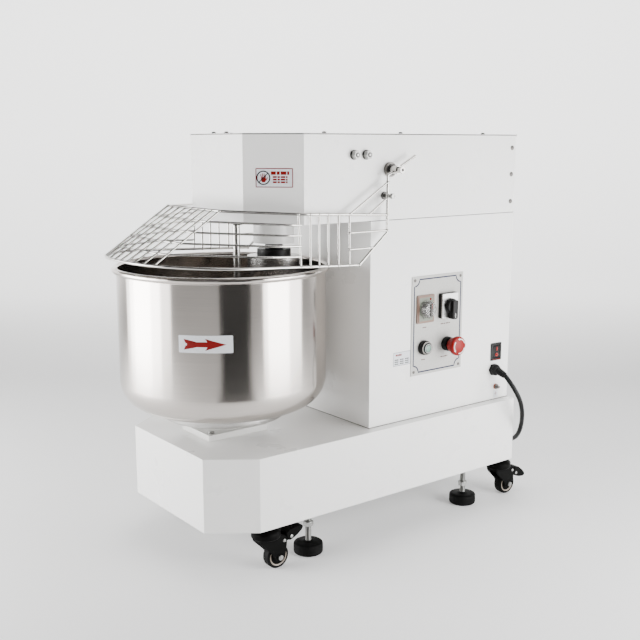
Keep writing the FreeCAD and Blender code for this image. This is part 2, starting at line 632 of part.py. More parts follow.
def make_guard():
    add("guard_top_hoop", top_hoop(GUARD_WIRE_R))
    add("guard_low_hoop", round_hoop(LOW_HOOP_Z, LOW_HOOP_REAR, GUARD_WIRE_R))

    bars = []
    for i in range(LATTICE_BARS):
        x = bar_x(i)
        top = hoop_point(TOP_HOOP_Z, x, TOP_HOOP_FRONT)
        bars.append(rod(top, hoop_point(LOW_HOOP_Z, x, low_hoop_y(x)), GUARD_THIN_R))
    for y in SIDE_WIRES_Y:
        top = hoop_point(TOP_HOOP_Z, top_hoop_x(y), y)
        bars += both_sides(rod(top, hoop_point(LOW_HOOP_Z, GUARD_X, y), GUARD_THIN_R))
    for i in range(MIDDLE_HOOPS):
        bars.append(middle_hoop((i + 1) / (MIDDLE_HOOPS + 1), GUARD_THIN_R))
    add("guard_wires", fused(bars))

    x = GUARD_X
    bush_face = HEAD_HALF_W + BUSH_FLANGE
    corner = (x, ARM_Y, ARM_CORNER_Z)
    hoop_end = hoop_point(LOW_HOOP_Z, x, LOW_HOOP_REAR)
    arm_top = (x, ARM_Y, ARM_TOP_Z)
    tail = (x, TAIL_END[0], TAIL_END[1])
    last_wire = SIDE_WIRES_Y[-1]
    parts = [
        rod(hoop_end, corner, GUARD_WIRE_R),
        rod(corner, arm_top, GUARD_WIRE_R),
        rod(arm_top, tail, GUARD_WIRE_R),
        Part.makeSphere(GUARD_WIRE_R, hoop_end),
        Part.makeSphere(GUARD_WIRE_R, V(*corner)),
        Part.makeSphere(GUARD_WIRE_R, V(*arm_top)),
        rod((x, last_wire, 626), (x, ARM_Y, 626), GUARD_THIN_R),
        rod((x, last_wire, 595), (x, -25, 595), GUARD_THIN_R),
        rod(hoop_point(TOP_HOOP_Z, x, last_wire), (x, ARM_Y, 717), GUARD_THIN_R),
        rod(hoop_point(TOP_HOOP_Z, x, -38), (x, ARM_Y, 688), GUARD_THIN_R),
        rod((bush_face + 0.5, PIVOT_Y, PIVOT_Z), (STUB_END, PIVOT_Y, PIVOT_Z), STUB_R),
        rod((150, PIVOT_Y, PIVOT_Z), (bush_face + 1, PIVOT_Y, PIVOT_Z), PIN_R),
        hexagon(11, (STUB_END, PIVOT_Y, PIVOT_Z), X_AXIS, BOLT_END - STUB_END),
    ]
    add("guard_arms", *both_sides(fused(parts)))


def make_head_fittings():
    inner_end = (HEAD_HALF_W - 14, PIVOT_Y, PIVOT_Z)
    bush = tube(BUSH_R, PIN_R + RUNNING_FIT, inner_end, X_AXIS, 14 + BUSH_FLANGE)
    add("pivot_bushes", *both_sides(bush))

    bolts = []
    washer = cylinder(7.5, (HEAD_HALF_W, STOP_Y, STOP_Z), X_AXIS, 3)
    shank = cylinder(3.0, (HEAD_HALF_W, STOP_Y, STOP_Z), X_AXIS, 22.5)
    head = hexagon(10, (HEAD_HALF_W + 22, STOP_Y, STOP_Z), X_AXIS, 6)
    bolts += both_sides(fused([washer, shank, head]))
    for y in (-61.5, -32.0):
        bolts += both_sides(hexagon(15, (HEAD_HALF_W, y, 768.5), X_AXIS, 11.5))
    plate_z = HEAD_BOTTOM - 6
    for x, y in ((38, -188), (-38, -188), (92, -98), (-92, -98)):
        bolts.append(hexagon(13, (x, y, plate_z), Z_AXIS, 6))
    stud = cylinder(3, (COLUMN_HALF_W, EARTH_Y, EARTH_Z), X_AXIS, 12)
    nut = hexagon(10, (COLUMN_HALF_W, EARTH_Y, EARTH_Z), X_AXIS, 6)
    bolts.append(fused([stud, nut]))
    for y in (BOWL_Y - 56, BOWL_Y + 56):
        for x in (-40, 40):
            bolts.append(hexagon(10, (x, y, BASE_TOP + FLANGE_SIZE[2]), Z_AXIS, 5))
    add("frame_bolts", *bolts)


# ---------------------------------------------------------------- control panel
def control_holes():
    """Centre y, z and radius of each round hole through the panel and the column wall."""
    return (
        (TIMER_Y, TIMER_Z, STEM_R + 2),
        (SELECTOR_Y, SELECTOR_Z, STEM_R + 2),
        (START_Y, BUTTON_Z, 11.0),
        (STOP_BUTTON_Y, BUTTON_Z, 11.0),
    )


def make_controls():
    plate = box((COLUMN_HALF_W, PANEL_FACE), PANEL_Y, PANEL_Z)
    for y, z, radius in control_holes():
        plate = plate.cut(cylinder(radius, (COLUMN_HALF_W - 2, y, z), X_AXIS, 8))
    add("control_plate", plate)

    face = PANEL_FACE
    frame = box((face, face + 5), (TIMER_Y - 24, TIMER_Y + 24), (TIMER_Z - 29, TIMER_Z + 29))
    add("timer_body", frame.cut(cylinder(STEM_R + RUNNING_FIT, (face - 1, TIMER_Y, TIMER_Z), X_AXIS, 10)))
    knob = cylinder(17, (face + 5.5, TIMER_Y, TIMER_Z), X_AXIS, 14)
    stem = cylinder(STEM_R, (face - 8, TIMER_Y, TIMER_Z), X_AXIS, 16)
    pointer = box((face + 19, face + 21.5), (TIMER_Y - 1.5, TIMER_Y + 1.5), (TIMER_Z - 15, TIMER_Z + 15))
    add("timer_knob", fused([knob, stem, pointer]))

    base = box((face, face + 11), (SELECTOR_Y - 23, SELECTOR_Y + 23), (SELECTOR_Z - 26, SELECTOR_Z + 26))
    bore = cylinder(STEM_R + RUNNING_FIT, (face - 1, SELECTOR_Y, SELECTOR_Z), X_AXIS, 20)
    add("selector_base", base.cut(bore))
    disc = cylinder(15.5, (face + 11.5, SELECTOR_Y, SELECTOR_Z), X_AXIS, 9)
    stem = cylinder(STEM_R, (face - 8, SELECTOR_Y, SELECTOR_Z), X_AXIS, 22)
    lever_y = (SELECTOR_Y - 7, SELECTOR_Y + 7)
    lever = box((face + 12, face + 27), lever_y, (SELECTOR_Z - 27, SELECTOR_Z + 12))
    add("selector_knob", fused([disc, stem, lever]))

    collar = tube(15, 11.2, (face, START_Y, BUTTON_Z), X_AXIS, 12)
    sleeve = tube(11, 9, (COLUMN_HALF_W - 14, START_Y, BUTTON_Z), X_AXIS, 14 + PANEL_T)
    stop_collar = tube(15, 10.4, (face, STOP_BUTTON_Y, BUTTON_Z), X_AXIS, 12)
    stop_sleeve = tube(11, 9, (COLUMN_HALF_W - 14, STOP_BUTTON_Y, BUTTON_Z), X_AXIS, 14 + PANEL_T)
    add("button_collars", collar.fuse(sleeve), stop_collar.fuse(stop_sleeve))
    cap = cylinder(10.9, (face + 4, START_Y, BUTTON_Z), X_AXIS, 12)
    stem = cylinder(8.9, (face - 10, START_Y, BUTTON_Z), X_AXIS, 15)
    add("start_button", fused([cap, stem]))
    mushroom = cylinder(20, (face + 28, STOP_BUTTON_Y, BUTTON_Z), X_AXIS, 9)
    crown = dome(20, 4, (face + 37, STOP_BUTTON_Y, BUTTON_Z), X_AXIS)
    neck = cone(15, 16, (face + 17, STOP_BUTTON_Y, BUTTON_Z), X_AXIS, 11)
    stem = cylinder(8.9, (face - 10, STOP_BUTTON_Y, BUTTON_Z), X_AXIS, 30)
    add("stop_button", fused([mushroom, crown, neck, stem]))

    wall = COLUMN_HALF_W
    frame = box((wall, wall + 3), SWITCH_Y, SWITCH_Z)
    body = box((wall - 18, wall), (SWITCH_Y[0] + 3, SWITCH_Y[1] - 3), (SWITCH_Z[0] + 3, SWITCH_Z[1] - 3))
    gap = 5.5
    hollow_y = (SWITCH_Y[0] + gap, SWITCH_Y[1] - gap)
    hollow_z = (SWITCH_Z[0] + gap, SWITCH_Z[1] - gap)
    hollow = box((wall - 15, wall + 4), hollow_y, hollow_z)
    add("switch_frame", fused([frame, body]).cut(hollow))
    z_mid = sum(SWITCH_Z) / 2
    edge = gap + 0.5
    y0, y1 = SWITCH_Y[0] + edge, SWITCH_Y[1] - edge
    half = (SWITCH_Z[1] - SWITCH_Z[0]) / 2 - edge - 1.0
    rocker = Part.makeCylinder(half, y1 - y0, V(wall - 4, y0, z_mid), Y_AXIS)
    rocker = rocker.common(box((wall - 12, wall + 5), (y0, y1), (z_mid - half, z_mid + half)))
    add("power_rocker", rocker)

    nut = hexagon(24, (wall, GLAND_Y, GLAND_Z), X_AXIS, 6)
    cap = cylinder(10.5, (wall + 6, GLAND_Y, GLAND_Z), X_AXIS, 8)
    thread = cylinder(GLAND_THREAD_R, (wall - 10, GLAND_Y, GLAND_Z), X_AXIS, 10)
    out = CORD_ROUTE[0] - RELIEF_START
    relief = Part.makeCone(8.8, 6.4, out.Length, RELIEF_START, out)
    ball = Part.makeSphere(8.8, RELIEF_START)
    add("cord_gland", fused([nut, cap, thread, ball, relief]))


# ---------------------------------------------------------------- castors and feet
def make_castor(side, end):
    stem_y = CASTOR_STEMS_Y[end]
    axle_y = stem_y + CASTOR_TRAIL
    x = side * CASTOR_X
    name = ("right_" if side > 0 else "left_") + end
    cap = cylinder(FORK_CAP_R, (x, stem_y, 66), Z_AXIS, 14)
    crown = cone(FORK_CAP_R, 20, (x, stem_y, 80), Z_AXIS, 5)
    race = cylinder(17, (x, stem_y, 85), Z_AXIS, BASE_BOTTOM - 1 - 85)
    neck = cylinder(10, (x, stem_y, 85), Z_AXIS, CHASSIS_BOTTOM - 0.4 - 85)
    stem = cylinder(FOOT_ROD_R, (x, stem_y, 80), Z_AXIS, CHASSIS_TOP + 8 - 80)
    cheek = [(stem_y - 22, 70), (stem_y - 20, 58), (axle_y - 17, 34), (axle_y - 11, 19),
             (axle_y + 8, 15), (axle_y + 13, 24), (axle_y + 17, 50), (axle_y + 16, 62), (axle_y + 2, 70)]
    cheeks = [side_prism(cheek, x + 11, x + 15), side_prism(cheek, x - 15, x - 11)]
    back = [(stem_y - 22, 70), (stem_y - 21, 60), (stem_y - 6, 56), (stem_y - 4, 70)]
    bridge = side_prism(back, x - 11, x + 11)
    axle = cylinder(AXLE_R, (x - 20, axle_y, WHEEL_R), X_AXIS, 40)
    heads = [hexagon(10, (start, axle_y, WHEEL_R), X_AXIS, 5) for start in (x + 15, x - 20)]
    pin_y = axle_y + 10
    pin = cylinder(2.5, (x - 17, pin_y, PEDAL_PIVOT_Z), X_AXIS, 34)
    add(name + "_fork", fused([cap, crown, race, neck, stem] + cheeks + [bridge, axle] + heads + [pin]))

    wheel_side = (x - WHEEL_HALF_W, axle_y, WHEEL_R)
    wheel = tube(WHEEL_R, AXLE_R + RUNNING_FIT, wheel_side, X_AXIS, 2 * WHEEL_HALF_W)
    wheel = wheel.cut(tube(18, 9, (x + WHEEL_HALF_W - 2.5, axle_y, WHEEL_R), X_AXIS, 4))
    wheel = wheel.cut(tube(18, 9, (x - WHEEL_HALF_W - 1.5, axle_y, WHEEL_R), X_AXIS, 4))
    add(name + "_wheel", wheel)

    root = cylinder(6.5, (x - 10, pin_y, PEDAL_PIVOT_Z), X_AXIS, 20)
    arm = side_prism([(pin_y, PEDAL_PIVOT_Z - 6), (pin_y + 14, PEDAL_PIVOT_Z - 6),
                      (pin_y + 14, PEDAL_PIVOT_Z + 6), (pin_y, PEDAL_PIVOT_Z + 6)], x - 10, x + 10)
    tread = side_prism([(pin_y + 14, PEDAL_PIVOT_Z - 6), (pin_y + 31, PEDAL_PIVOT_Z + 0.5),
                        (pin_y + 45, PEDAL_PIVOT_Z + 9), (pin_y + 43, PEDAL_PIVOT_Z + 13),
                        (pin_y + 24, PEDAL_PIVOT_Z + 11), (pin_y + 14, PEDAL_PIVOT_Z + 7)], x - 14, x + 14)
    rivet = cylinder(3.0, (x - 15, pin_y + 18, PEDAL_PIVOT_Z + 1), X_AXIS, 30)
    pedal = fused([root, arm, tread, rivet])
    pedal = pedal.cut(cylinder(2.5 + RUNNING_FIT, (x - 20, pin_y, PEDAL_PIVOT_Z), X_AXIS, 40))
    pedal.rotate(V(x, pin_y, PEDAL_PIVOT_Z), X_AXIS, PEDAL_REST[end] - 12.0)
    add(name + "_pedal", pedal)


def make_foot(side, end):
    x, y = side * FOOT_X, FEET_Y[end]
    name = ("right_" if side > 0 else "left_") + end
    pad = cylinder(PAD_R, (x, y, 0), Z_AXIS, PAD_H - 5)
    crown = dome(PAD_R, 5, (x, y, PAD_H - 5), Z_AXIS)
    screw = cylinder(FOOT_ROD_R, (x, y, PAD_H - 8), Z_AXIS, 112)
    nut = hexagon(19, (x, y, FOOT_NUT_Z[end]), Z_AXIS, 10)
    add(name + "_foot", fused([pad, crown, screw, nut]))


# ---------------------------------------------------------------- mains cord
def make_cord():
    radii = arc_radii(CORD_ROUTE, 0.45)
    print("cord arc radii:", [round(r, 1) for r in radii])
    path = bent_wire(list(CORD_ROUTE), radii)
    cord = swept(path, CORD_R)
    section = math.pi * CORD_R ** 2
    print("cord path", round(path.Length, 1), "volume share", round(cord.Volume / (section * path.Length), 4))
    add("cord", cord)

    x, y = COIL_CENTRE
    inner, outer = COIL_MEAN_R - CORD_D, COIL_MEAN_R + CORD_D
    height = COIL_LAYERS * CORD_D
    add("cord_coil", tube(outer, inner, (x, y, 0), Z_AXIS, height))

    plug_y = y - COIL_MEAN_R - 4
    tail_x = x - 22
    tail = cone(6.2, 9.5, (tail_x, plug_y, PLUG_Z), -X_AXIS, 24)
    body = cone(13, 14, (tail_x - 22, plug_y, PLUG_Z), -X_AXIS, 36)
    face = cylinder(14, (tail_x - 58, plug_y, PLUG_Z), -X_AXIS, 4)
    parts = [tail, body, face]
    for offset in (-8.0, 8.0):
        parts.append(cylinder(2.2, (tail_x - 62, plug_y + offset, PLUG_Z), -X_AXIS, 19))
    add("cord_plug", fused(parts))


def drill_screw_holes():
    """Cut each cover screw's shank out of the sheets it goes through."""
    for name in ("head_shell", "head_lid", "rear_cover", "control_plate", "column_shell"):
        nodes[name] = nodes[name].cut(nodes["cover_screws"])


def main():
    os.makedirs("parts", exist_ok=True)
    make_base()
    make_column()
    make_head()
    make_screws()
    make_bowl()
    make_spiral()
    make_drive()
    make_bearings()
    make_guard()
    make_head_fittings()
    make_controls()
    for side in SIDES:
        for end in CASTOR_STEMS_Y:
            make_castor(side, end)
            make_foot(side, end)
    make_cord()
    drill_screw_holes()
    for name, shape in nodes.items():
        if not shape.isValid():
            print("not valid:", name)
        shape.exportStep(os.path.join("parts", name + ".step"))
    print(len(nodes), "nodes")


main()
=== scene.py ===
import math

import bmesh
import bpy
from mathutils import Matrix, Vector


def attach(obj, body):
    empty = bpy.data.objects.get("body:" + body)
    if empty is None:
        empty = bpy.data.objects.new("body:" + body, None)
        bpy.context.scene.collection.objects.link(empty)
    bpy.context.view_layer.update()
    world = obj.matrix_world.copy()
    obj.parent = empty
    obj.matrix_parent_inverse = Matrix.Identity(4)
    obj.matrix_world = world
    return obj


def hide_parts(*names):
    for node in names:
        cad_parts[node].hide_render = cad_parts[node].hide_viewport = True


# Looks of a spiral dough mixer: white casings, steel bowl and wire guard, side panel, castors.
# Metres, the CAD model's own frame: +Z up, the bowl end faces -Y, the control panel is on +X.
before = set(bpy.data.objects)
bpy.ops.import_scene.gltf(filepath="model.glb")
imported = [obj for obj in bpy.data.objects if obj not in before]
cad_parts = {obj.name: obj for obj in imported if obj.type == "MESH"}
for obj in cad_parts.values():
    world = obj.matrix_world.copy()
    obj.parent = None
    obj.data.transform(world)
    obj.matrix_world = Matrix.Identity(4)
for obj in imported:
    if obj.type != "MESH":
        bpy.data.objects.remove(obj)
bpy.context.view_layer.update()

X_AXIS = Vector((1, 0, 0))
Y_AXIS = Vector((0, 1, 0))
Z_AXIS = Vector((0, 0, 1))
AS_DRAWN = Matrix.Identity(4)
TO_SIDE = Matrix(((0, 0, 1, 0), (1, 0, 0, 0), (0, 1, 0, 0), (0, 0, 0, 1)))   # own X, Y, Z to +Y, +Z, +X

# ---------------------------------------------------------------- camera
CAMERA_AT = (1.5456, -1.1981, 0.7899)
CAMERA_TURN = math.radians(52.4)
CAMERA_DOWN = math.radians(10.6)
CAMERA_LENS = 53.16         # millimetres, on a 36 mm wide sensor

camera_data = bpy.data.cameras.new("camera")
camera_data.lens = CAMERA_LENS
camera_data.sensor_width = 36.0
camera_data.clip_end = 50.0
camera = bpy.data.objects.new("camera", camera_data)
camera.location = CAMERA_AT
camera.rotation_euler = (math.pi / 2 - CAMERA_DOWN, 0, CAMERA_TURN)
bpy.context.scene.collection.objects.link(camera)
bpy.context.scene.camera = camera


# ---------------------------------------------------------------- node helpers for materials
class Nodes:
    """A material's node tree with one Principled shader and object coordinates."""

    def __init__(self, name):
        self.material = bpy.data.materials.new(name)
        self.material.use_nodes = True
        self.tree = self.material.node_tree
        self.shader = self.tree.nodes["Principled BSDF"]
        self.coords = self.tree.nodes.new("ShaderNodeTexCoord").outputs["Object"]

    def add(self, kind, **values):
        node = self.tree.nodes.new(kind)
        for key, value in values.items():
            if key in node.inputs:
                node.inputs[key].default_value = value
            else:
                setattr(node, key, value)
        return node

    def link(self, source, target):
        self.tree.links.new(source, target)

    def noise(self, scale, detail=3.0, stretch=(1, 1, 1)):
        """Noise in object space; a stretch above 1 makes it finer along that axis."""
        mapping = self.add("ShaderNodeMapping")
        mapping.inputs["Scale"].default_value = stretch
        texture = self.add("ShaderNodeTexNoise", Scale=scale, Detail=detail)
        self.link(self.coords, mapping.inputs["Vector"])
        self.link(mapping.outputs["Vector"], texture.inputs["Vector"])
        return texture.outputs["Fac"]

    def ranged(self, value, low, high, from_low=0.35, from_high=0.65):
        node = self.add("ShaderNodeMapRange")
        node.inputs["From Min"].default_value = from_low
        node.inputs["From Max"].default_value = from_high
        node.inputs["To Min"].default_value = low
        node.inputs["To Max"].default_value = high
        self.link(value, node.inputs["Value"])
        return node.outputs["Result"]

    def mixed(self, factor, first, second):
        """A Mix node's colour output; its colour pair are sockets 6 and 7."""
        node = self.add("ShaderNodeMix", data_type="RGBA")
        for socket, value in ((node.inputs[6], first), (node.inputs[7], second)):
            if isinstance(value, tuple):
                socket.default_value = (*value, 1)
            else:
                self.link(value, socket)
        self.link(factor, node.inputs[0])
        return node.outputs[2]

    def colour(self, value):
        self.link(value, self.shader.inputs["Base Color"])

    def roughness(self, value):
        self.link(value, self.shader.inputs["Roughness"])

    def bump(self, height, strength, distance):
        previous = self.shader.inputs["Normal"]
        node = self.add("ShaderNodeBump", Strength=strength, Distance=distance)
        if previous.is_linked:
            self.link(previous.links[0].from_socket, node.inputs["Normal"])
        self.link(height, node.inputs["Height"])
        self.link(node.outputs["Normal"], previous)

    def set(self, **values):
        for key, value in values.items():
            self.shader.inputs[key.replace("_", " ")].default_value = value


def shade(colour, factor):
    return tuple(min(c * factor, 1.0) for c in colour)


def enamel(name, colour):
    """Glossy powder coat: orange peel, slight cloudiness and patchy darkening toward the bottom."""
    n = Nodes(name)
    cloud = n.ranged(n.noise(3.0), 0.0, 1.0)
    tint = n.mixed(cloud, shade(colour, 0.985), colour)
    height = n.add("ShaderNodeSeparateXYZ")
    n.link(n.coords, height.inputs["Vector"])
    # patchy darkening of the colour toward the bottom of each casing, fading out from z 0.085 to 0.16 m
    darker_low_band = n.ranged(height.outputs["Z"], 0.1, 0.0, 0.085, 0.16)
    spots = n.add("ShaderNodeMath", operation="MULTIPLY")
    n.link(darker_low_band, spots.inputs[0])
    n.link(n.ranged(n.noise(60.0, 6.0), 0.0, 1.0), spots.inputs[1])
    n.colour(n.mixed(spots.outputs["Value"], tint, shade(colour, 0.72)))
    n.roughness(n.ranged(n.noise(14.0, 4.0), 0.27, 0.37))
    n.bump(n.noise(480.0, 2.0), 0.1, 0.0004)
    n.bump(n.noise(28.0, 2.0), 0.04, 0.002)
    n.set(Coat_Weight=0.25, Coat_Roughness=0.12, IOR=1.5)
    return n.material


def steel(name, colour, rough, grain, stretch=(1, 1, 1), depth=0.06):
    """Ground or drawn metal: fine streaks in one direction, smudges in the gloss."""
    n = Nodes(name)
    streaks = n.noise(grain, 4.0, stretch)
    n.colour(n.mixed(n.ranged(streaks, 0.0, 1.0), shade(colour, 0.9), colour))
    smudge = n.ranged(n.noise(9.0, 5.0), rough * 0.8, rough * 1.25)
    fine = n.add("ShaderNodeMath", operation="MULTIPLY_ADD")
    n.link(streaks, fine.inputs[0])
    fine.inputs[1].default_value = rough * 0.5
    n.link(smudge, fine.inputs[2])
    n.roughness(fine.outputs["Value"])
    n.bump(streaks, depth, 0.0002)
    n.set(Metallic=1.0)
    return n.material


def spun_steel(name, colour, rough):
    """Spun and polished sheet: the grain runs round the bowl, so reflections smear up and down."""
    n = Nodes(name)
    rings = n.noise(4.0, 4.0, (1, 1, 170))
    n.colour(n.mixed(n.ranged(rings, 0.0, 1.0), shade(colour, 0.93), colour))
    n.roughness(n.ranged(n.noise(7.0, 3.0), rough * 0.92, rough * 1.08))
    n.bump(rings, 0.012, 0.0002)
    tangent = n.add("ShaderNodeTangent", direction_type="RADIAL", axis="Z")
    n.link(tangent.outputs["Tangent"], n.shader.inputs["Tangent"])
    n.set(Metallic=1.0, Anisotropic=0.75, Anisotropic_Rotation=0.25)
    return n.material


def moulded(name, colour, rough, grain=900.0, depth=0.12, **extra):
    """Moulded plastic or rubber: fine spark-eroded grain, rubbed and dusty patches."""
    n = Nodes(name)
    rub = n.ranged(n.noise(22.0, 5.0), 0.0, 1.0)
    n.colour(n.mixed(rub, colour, tuple(c * 1.25 + 0.0006 for c in colour)))
    n.roughness(n.ranged(n.noise(35.0, 4.0), rough * 0.85, min(rough * 1.2, 1.0)))
    n.bump(n.noise(grain, 2.0), depth, 0.00025)
    n.set(**extra)
    return n.material


def printed(name, colour, rough=0.35):
    """Ink or film: a trace of mottling and a satin skin."""
    n = Nodes(name)
    n.colour(n.mixed(n.ranged(n.noise(260.0, 4.0), 0.0, 1.0), shade(colour, 0.92), colour))
    n.roughness(n.ranged(n.noise(40.0, 3.0), rough * 0.85, rough * 1.2))
    n.bump(n.noise(700.0, 2.0), 0.05, 0.0001)
    n.set(Specular_IOR_Level=0.2)
    return n.material


WHITE = (0.8, 0.795, 0.78)
M_ENAMEL = enamel("white_enamel", WHITE)
M_IRON = enamel("painted_iron", (0.66, 0.655, 0.63))
M_MOTOR = enamel("motor_paint", (0.1, 0.115, 0.13))
M_BOWL = spun_steel("bowl_steel", (0.57, 0.53, 0.495), 0.16)
M_WIRE = steel("wire_steel", (0.56, 0.545, 0.52), 0.18, 120.0)
M_STEEL = steel("turned_steel", (0.5, 0.49, 0.475), 0.18, 8.0, (1, 1, 90))
M_BRUSHED = steel("brushed_sheet", (0.46, 0.46, 0.455), 0.26, 10.0, (1, 1, 120))
M_ZINC = steel("zinc_plate", (0.36, 0.36, 0.35), 0.26, 260.0)
M_DULL = steel("dull_zinc", (0.17, 0.16, 0.15), 0.34, 260.0)
M_OILED = steel("oiled_steel", (0.07, 0.068, 0.065), 0.38, 140.0)
M_BLACK = moulded("black_plastic", (0.0022, 0.0022, 0.0022), 0.42, Specular_IOR_Level=0.2)
M_CASTOR = moulded("castor_black", (0.0012, 0.0012, 0.0011), 0.48, 500.0, Specular_IOR_Level=0.05)
M_RUBBER = moulded("rubber", (0.0015, 0.0015, 0.0014), 0.65, 420.0, 0.2, Specular_IOR_Level=0.1)
M_CORD = moulded("cord_sheath", (0.0018, 0.0018, 0.0019), 0.45, 300.0, Specular_IOR_Level=0.2)
M_RING = moulded("wheel_ring", (0.24, 0.2, 0.165), 0.4)
M_RED = moulded("red_plastic", (0.19, 0.002, 0.0014), 0.36, Specular_IOR_Level=0.2)
# red ink for the switch marks with a faint painted glow: the marks are printed, not lit
M_GLOWING_MARKS = moulded("red_marks_painted_glow", (0.45, 0.008, 0.004), 0.35, Emission_Color=(1.0, 0.03, 0.01, 1),
                 Emission_Strength=0.12)
M_DARK_GREEN = moulded("green_rim", (0.012, 0.022, 0.018), 0.35)
M_GREEN = moulded("green_lens", (0.075, 0.16, 0.12), 0.3, Coat_Weight=0.3, Coat_Roughness=0.1)
M_BEIGE = moulded("beige_frame", (0.17, 0.1, 0.072), 0.42)
M_DIAL = printed("dial_face", (0.17, 0.185, 0.15))
M_CLEAR = moulded("clear_knob", (0.6, 0.6, 0.58), 0.09, 300.0, 0.03, Transmission_Weight=0.8,
                  IOR=1.46)
M_PANEL = printed("panel_film", (0.46, 0.455, 0.435), 0.38)
M_LABEL = printed("label_white", (0.66, 0.68, 0.71), 0.3)
M_INK_RED = printed("ink_red", (0.17, 0.0016, 0.001), 0.5)
M_INK_NAVY = printed("ink_navy", (0.003, 0.004, 0.035))
M_INK_BLACK = printed("ink_black", (0.006, 0.006, 0.006))
M_INK_BROWN = printed("ink_brown", (0.07, 0.018, 0.01))
M_INK_WHITE = printed("ink_white", (0.72, 0.72, 0.71))
# colour of the painted shadow strips along the casing gaps
M_SEAM_SHADOW = printed("seam_shadow", (0.028, 0.023, 0.02), 0.6)
M_COPPER = steel("copper_washer", (0.36, 0.12, 0.07), 0.25, 200.0)
M_BRASS = steel("brass", (0.5, 0.33, 0.14), 0.25, 200.0)


# ---------------------------------------------------------------- mesh helpers
def at(point, axis=Z_AXIS, turn=0.0):
    """A placement whose own Z points along axis, turned about it by an angle in degrees."""
    spin = Matrix.Rotation(math.radians(turn), 4, "Z")
    upright = axis.to_track_quat("Z", "Y").to_matrix().to_4x4()
    return Matrix.Translation(Vector(point)) @ upright @ spin


def side_at(point):
    """A placement on the panel side: own X runs along +Y, own Y along +Z, own Z points out (+X)."""
    return Matrix.Translation(Vector(point)) @ TO_SIDE


def rounded(points, radius, steps=4, closed=False):
    """The same run of 2-D points with every corner eased by a short curve."""
    points = [Vector(p) for p in points]
    count = len(points)
    result = []
    for i, corner in enumerate(points):
        if not closed and i in (0, count - 1):
            result.append(corner)
            continue
        back = points[i - 1] - corner
        ahead = points[(i + 1) % count] - corner
        reach = min(radius, back.length * 0.48, ahead.length * 0.48)
        first = corner + back.normalized() * reach
        last = corner + ahead.normalized() * reach
        for step in range(steps + 1):
            t = step / steps
            result.append(first * (1 - t) ** 2 + corner * 2 * t * (1 - t) + last * t ** 2)
    return result


def lathe(bm, profile, place, segments=48):
    """Turns a run of (radius, height) points round the placement's own Z; radius 0 is one point."""
    rings = []
    for radius, height in profile:
        ring = []
        for i in range(segments if radius > 0 else 1):
            angle = 2 * math.pi * i / segments
            spot = Vector((radius * math.cos(angle), radius * math.sin(angle), height))
            ring.append(bm.verts.new(place @ spot))
        rings.append(ring)
    for low, high in zip(rings, rings[1:]):
        for i in range(segments):
            j = (i + 1) % segments
            if len(low) == 1 and len(high) > 1:
                bm.faces.new((low[0], high[j], high[i]))
            elif len(high) == 1 and len(low) > 1:
                bm.faces.new((low[i], low[j], high[0]))
            elif len(low) > 1:
                bm.faces.new((low[i], low[j], high[j], high[i]))


def turned(bm, profile, place, ease=0.0, segments=48):
    """A turned solid from an outline of (radius, height) points, its corners eased."""
    lathe(bm, rounded(profile, ease, 3) if ease else profile, place, segments)


def ribs(bm, point, count, outline, low, high, ease):
    """The same small slab set evenly round an axis along X."""
    for i in range(count):
        slab(bm, outline, low, high, at(point, X_AXIS, 360 / count * i), ease)


def slab(bm, outline, low, high, place, ease=0.0):
    """A flat outline raised from low to high, its top edge eased by one chamfer."""
    count = len(outline)
    middle = sum((Vector(p) for p in outline), Vector((0, 0))) / count
    levels = [(low, 0.0), (high - ease, 0.0), (high, ease)] if ease else [(low, 0.0), (high, 0.0)]
    rings = []
    for height, inset in levels:
        ring = []
        for p in outline:
            p = Vector(p)
            inward = (middle - p).normalized() * inset
            ring.append(bm.verts.new(place @ Vector((p.x + inward.x, p.y + inward.y, height))))
        rings.append(ring)
    for lower, upper in zip(rings, rings[1:]):
        for i in range(count):
            j = (i + 1) % count
            bm.faces.new((lower[i], lower[j], upper[j], upper[i]))
    bm.faces.new(rings[-1])
    bm.faces.new(list(reversed(rings[0])))


def rectangle(width, height, centre=(0, 0), radius=0.0):
    x, y = centre
    corners = [(x - width / 2, y - height / 2), (x + width / 2, y - height / 2),
               (x + width / 2, y + height / 2), (x - width / 2, y + height / 2)]
    return rounded(corners, radius, 4, True) if radius else [Vector(c) for c in corners]


def hexagon(across):
    corner = across / math.sqrt(3)
    angles = [math.radians(60 * i) for i in range(6)]
    return [Vector((corner * math.cos(a), corner * math.sin(a))) for a in angles]


def strip(bm, points, width, low, high, place, closed=False):
    """A raised line of even width along a run of 2-D points."""
    points = [Vector(p) for p in points]
    count = len(points)
    left, right = [], []
    for i, p in enumerate(points):
        before = points[i - 1] if (i > 0 or closed) else p
        after = points[(i + 1) % count] if (i < count - 1 or closed) else p
        along = (after - before).normalized()
        across = Vector((-along.y, along.x)) * width / 2
        left.append(p + across)
        right.append(p - across)
    last = count if closed else count - 1
    for i in range(last):
        j = (i + 1) % count
        slab(bm, [left[i], right[i], right[j], left[j]], low, high, place)


def arc(radius, start, end, steps, centre=(0, 0)):
    """Points along a circle from one angle in degrees to another."""
    points = []
    for i in range(steps + 1):
        angle = math.radians(start + (end - start) * i / steps)
        points.append((centre[0] + radius * math.cos(angle), centre[1] + radius * math.sin(angle)))
    return points


def bead(bm, centre, radius):
    """A small lump of weld metal, flatter than a ball."""
    waist, cap = radius * 0.75, radius * 0.62
    profile = [(0, -radius), (waist, -cap), (radius, 0), (waist, cap), (0, radius)]
    lathe(bm, profile, at(centre), 8)


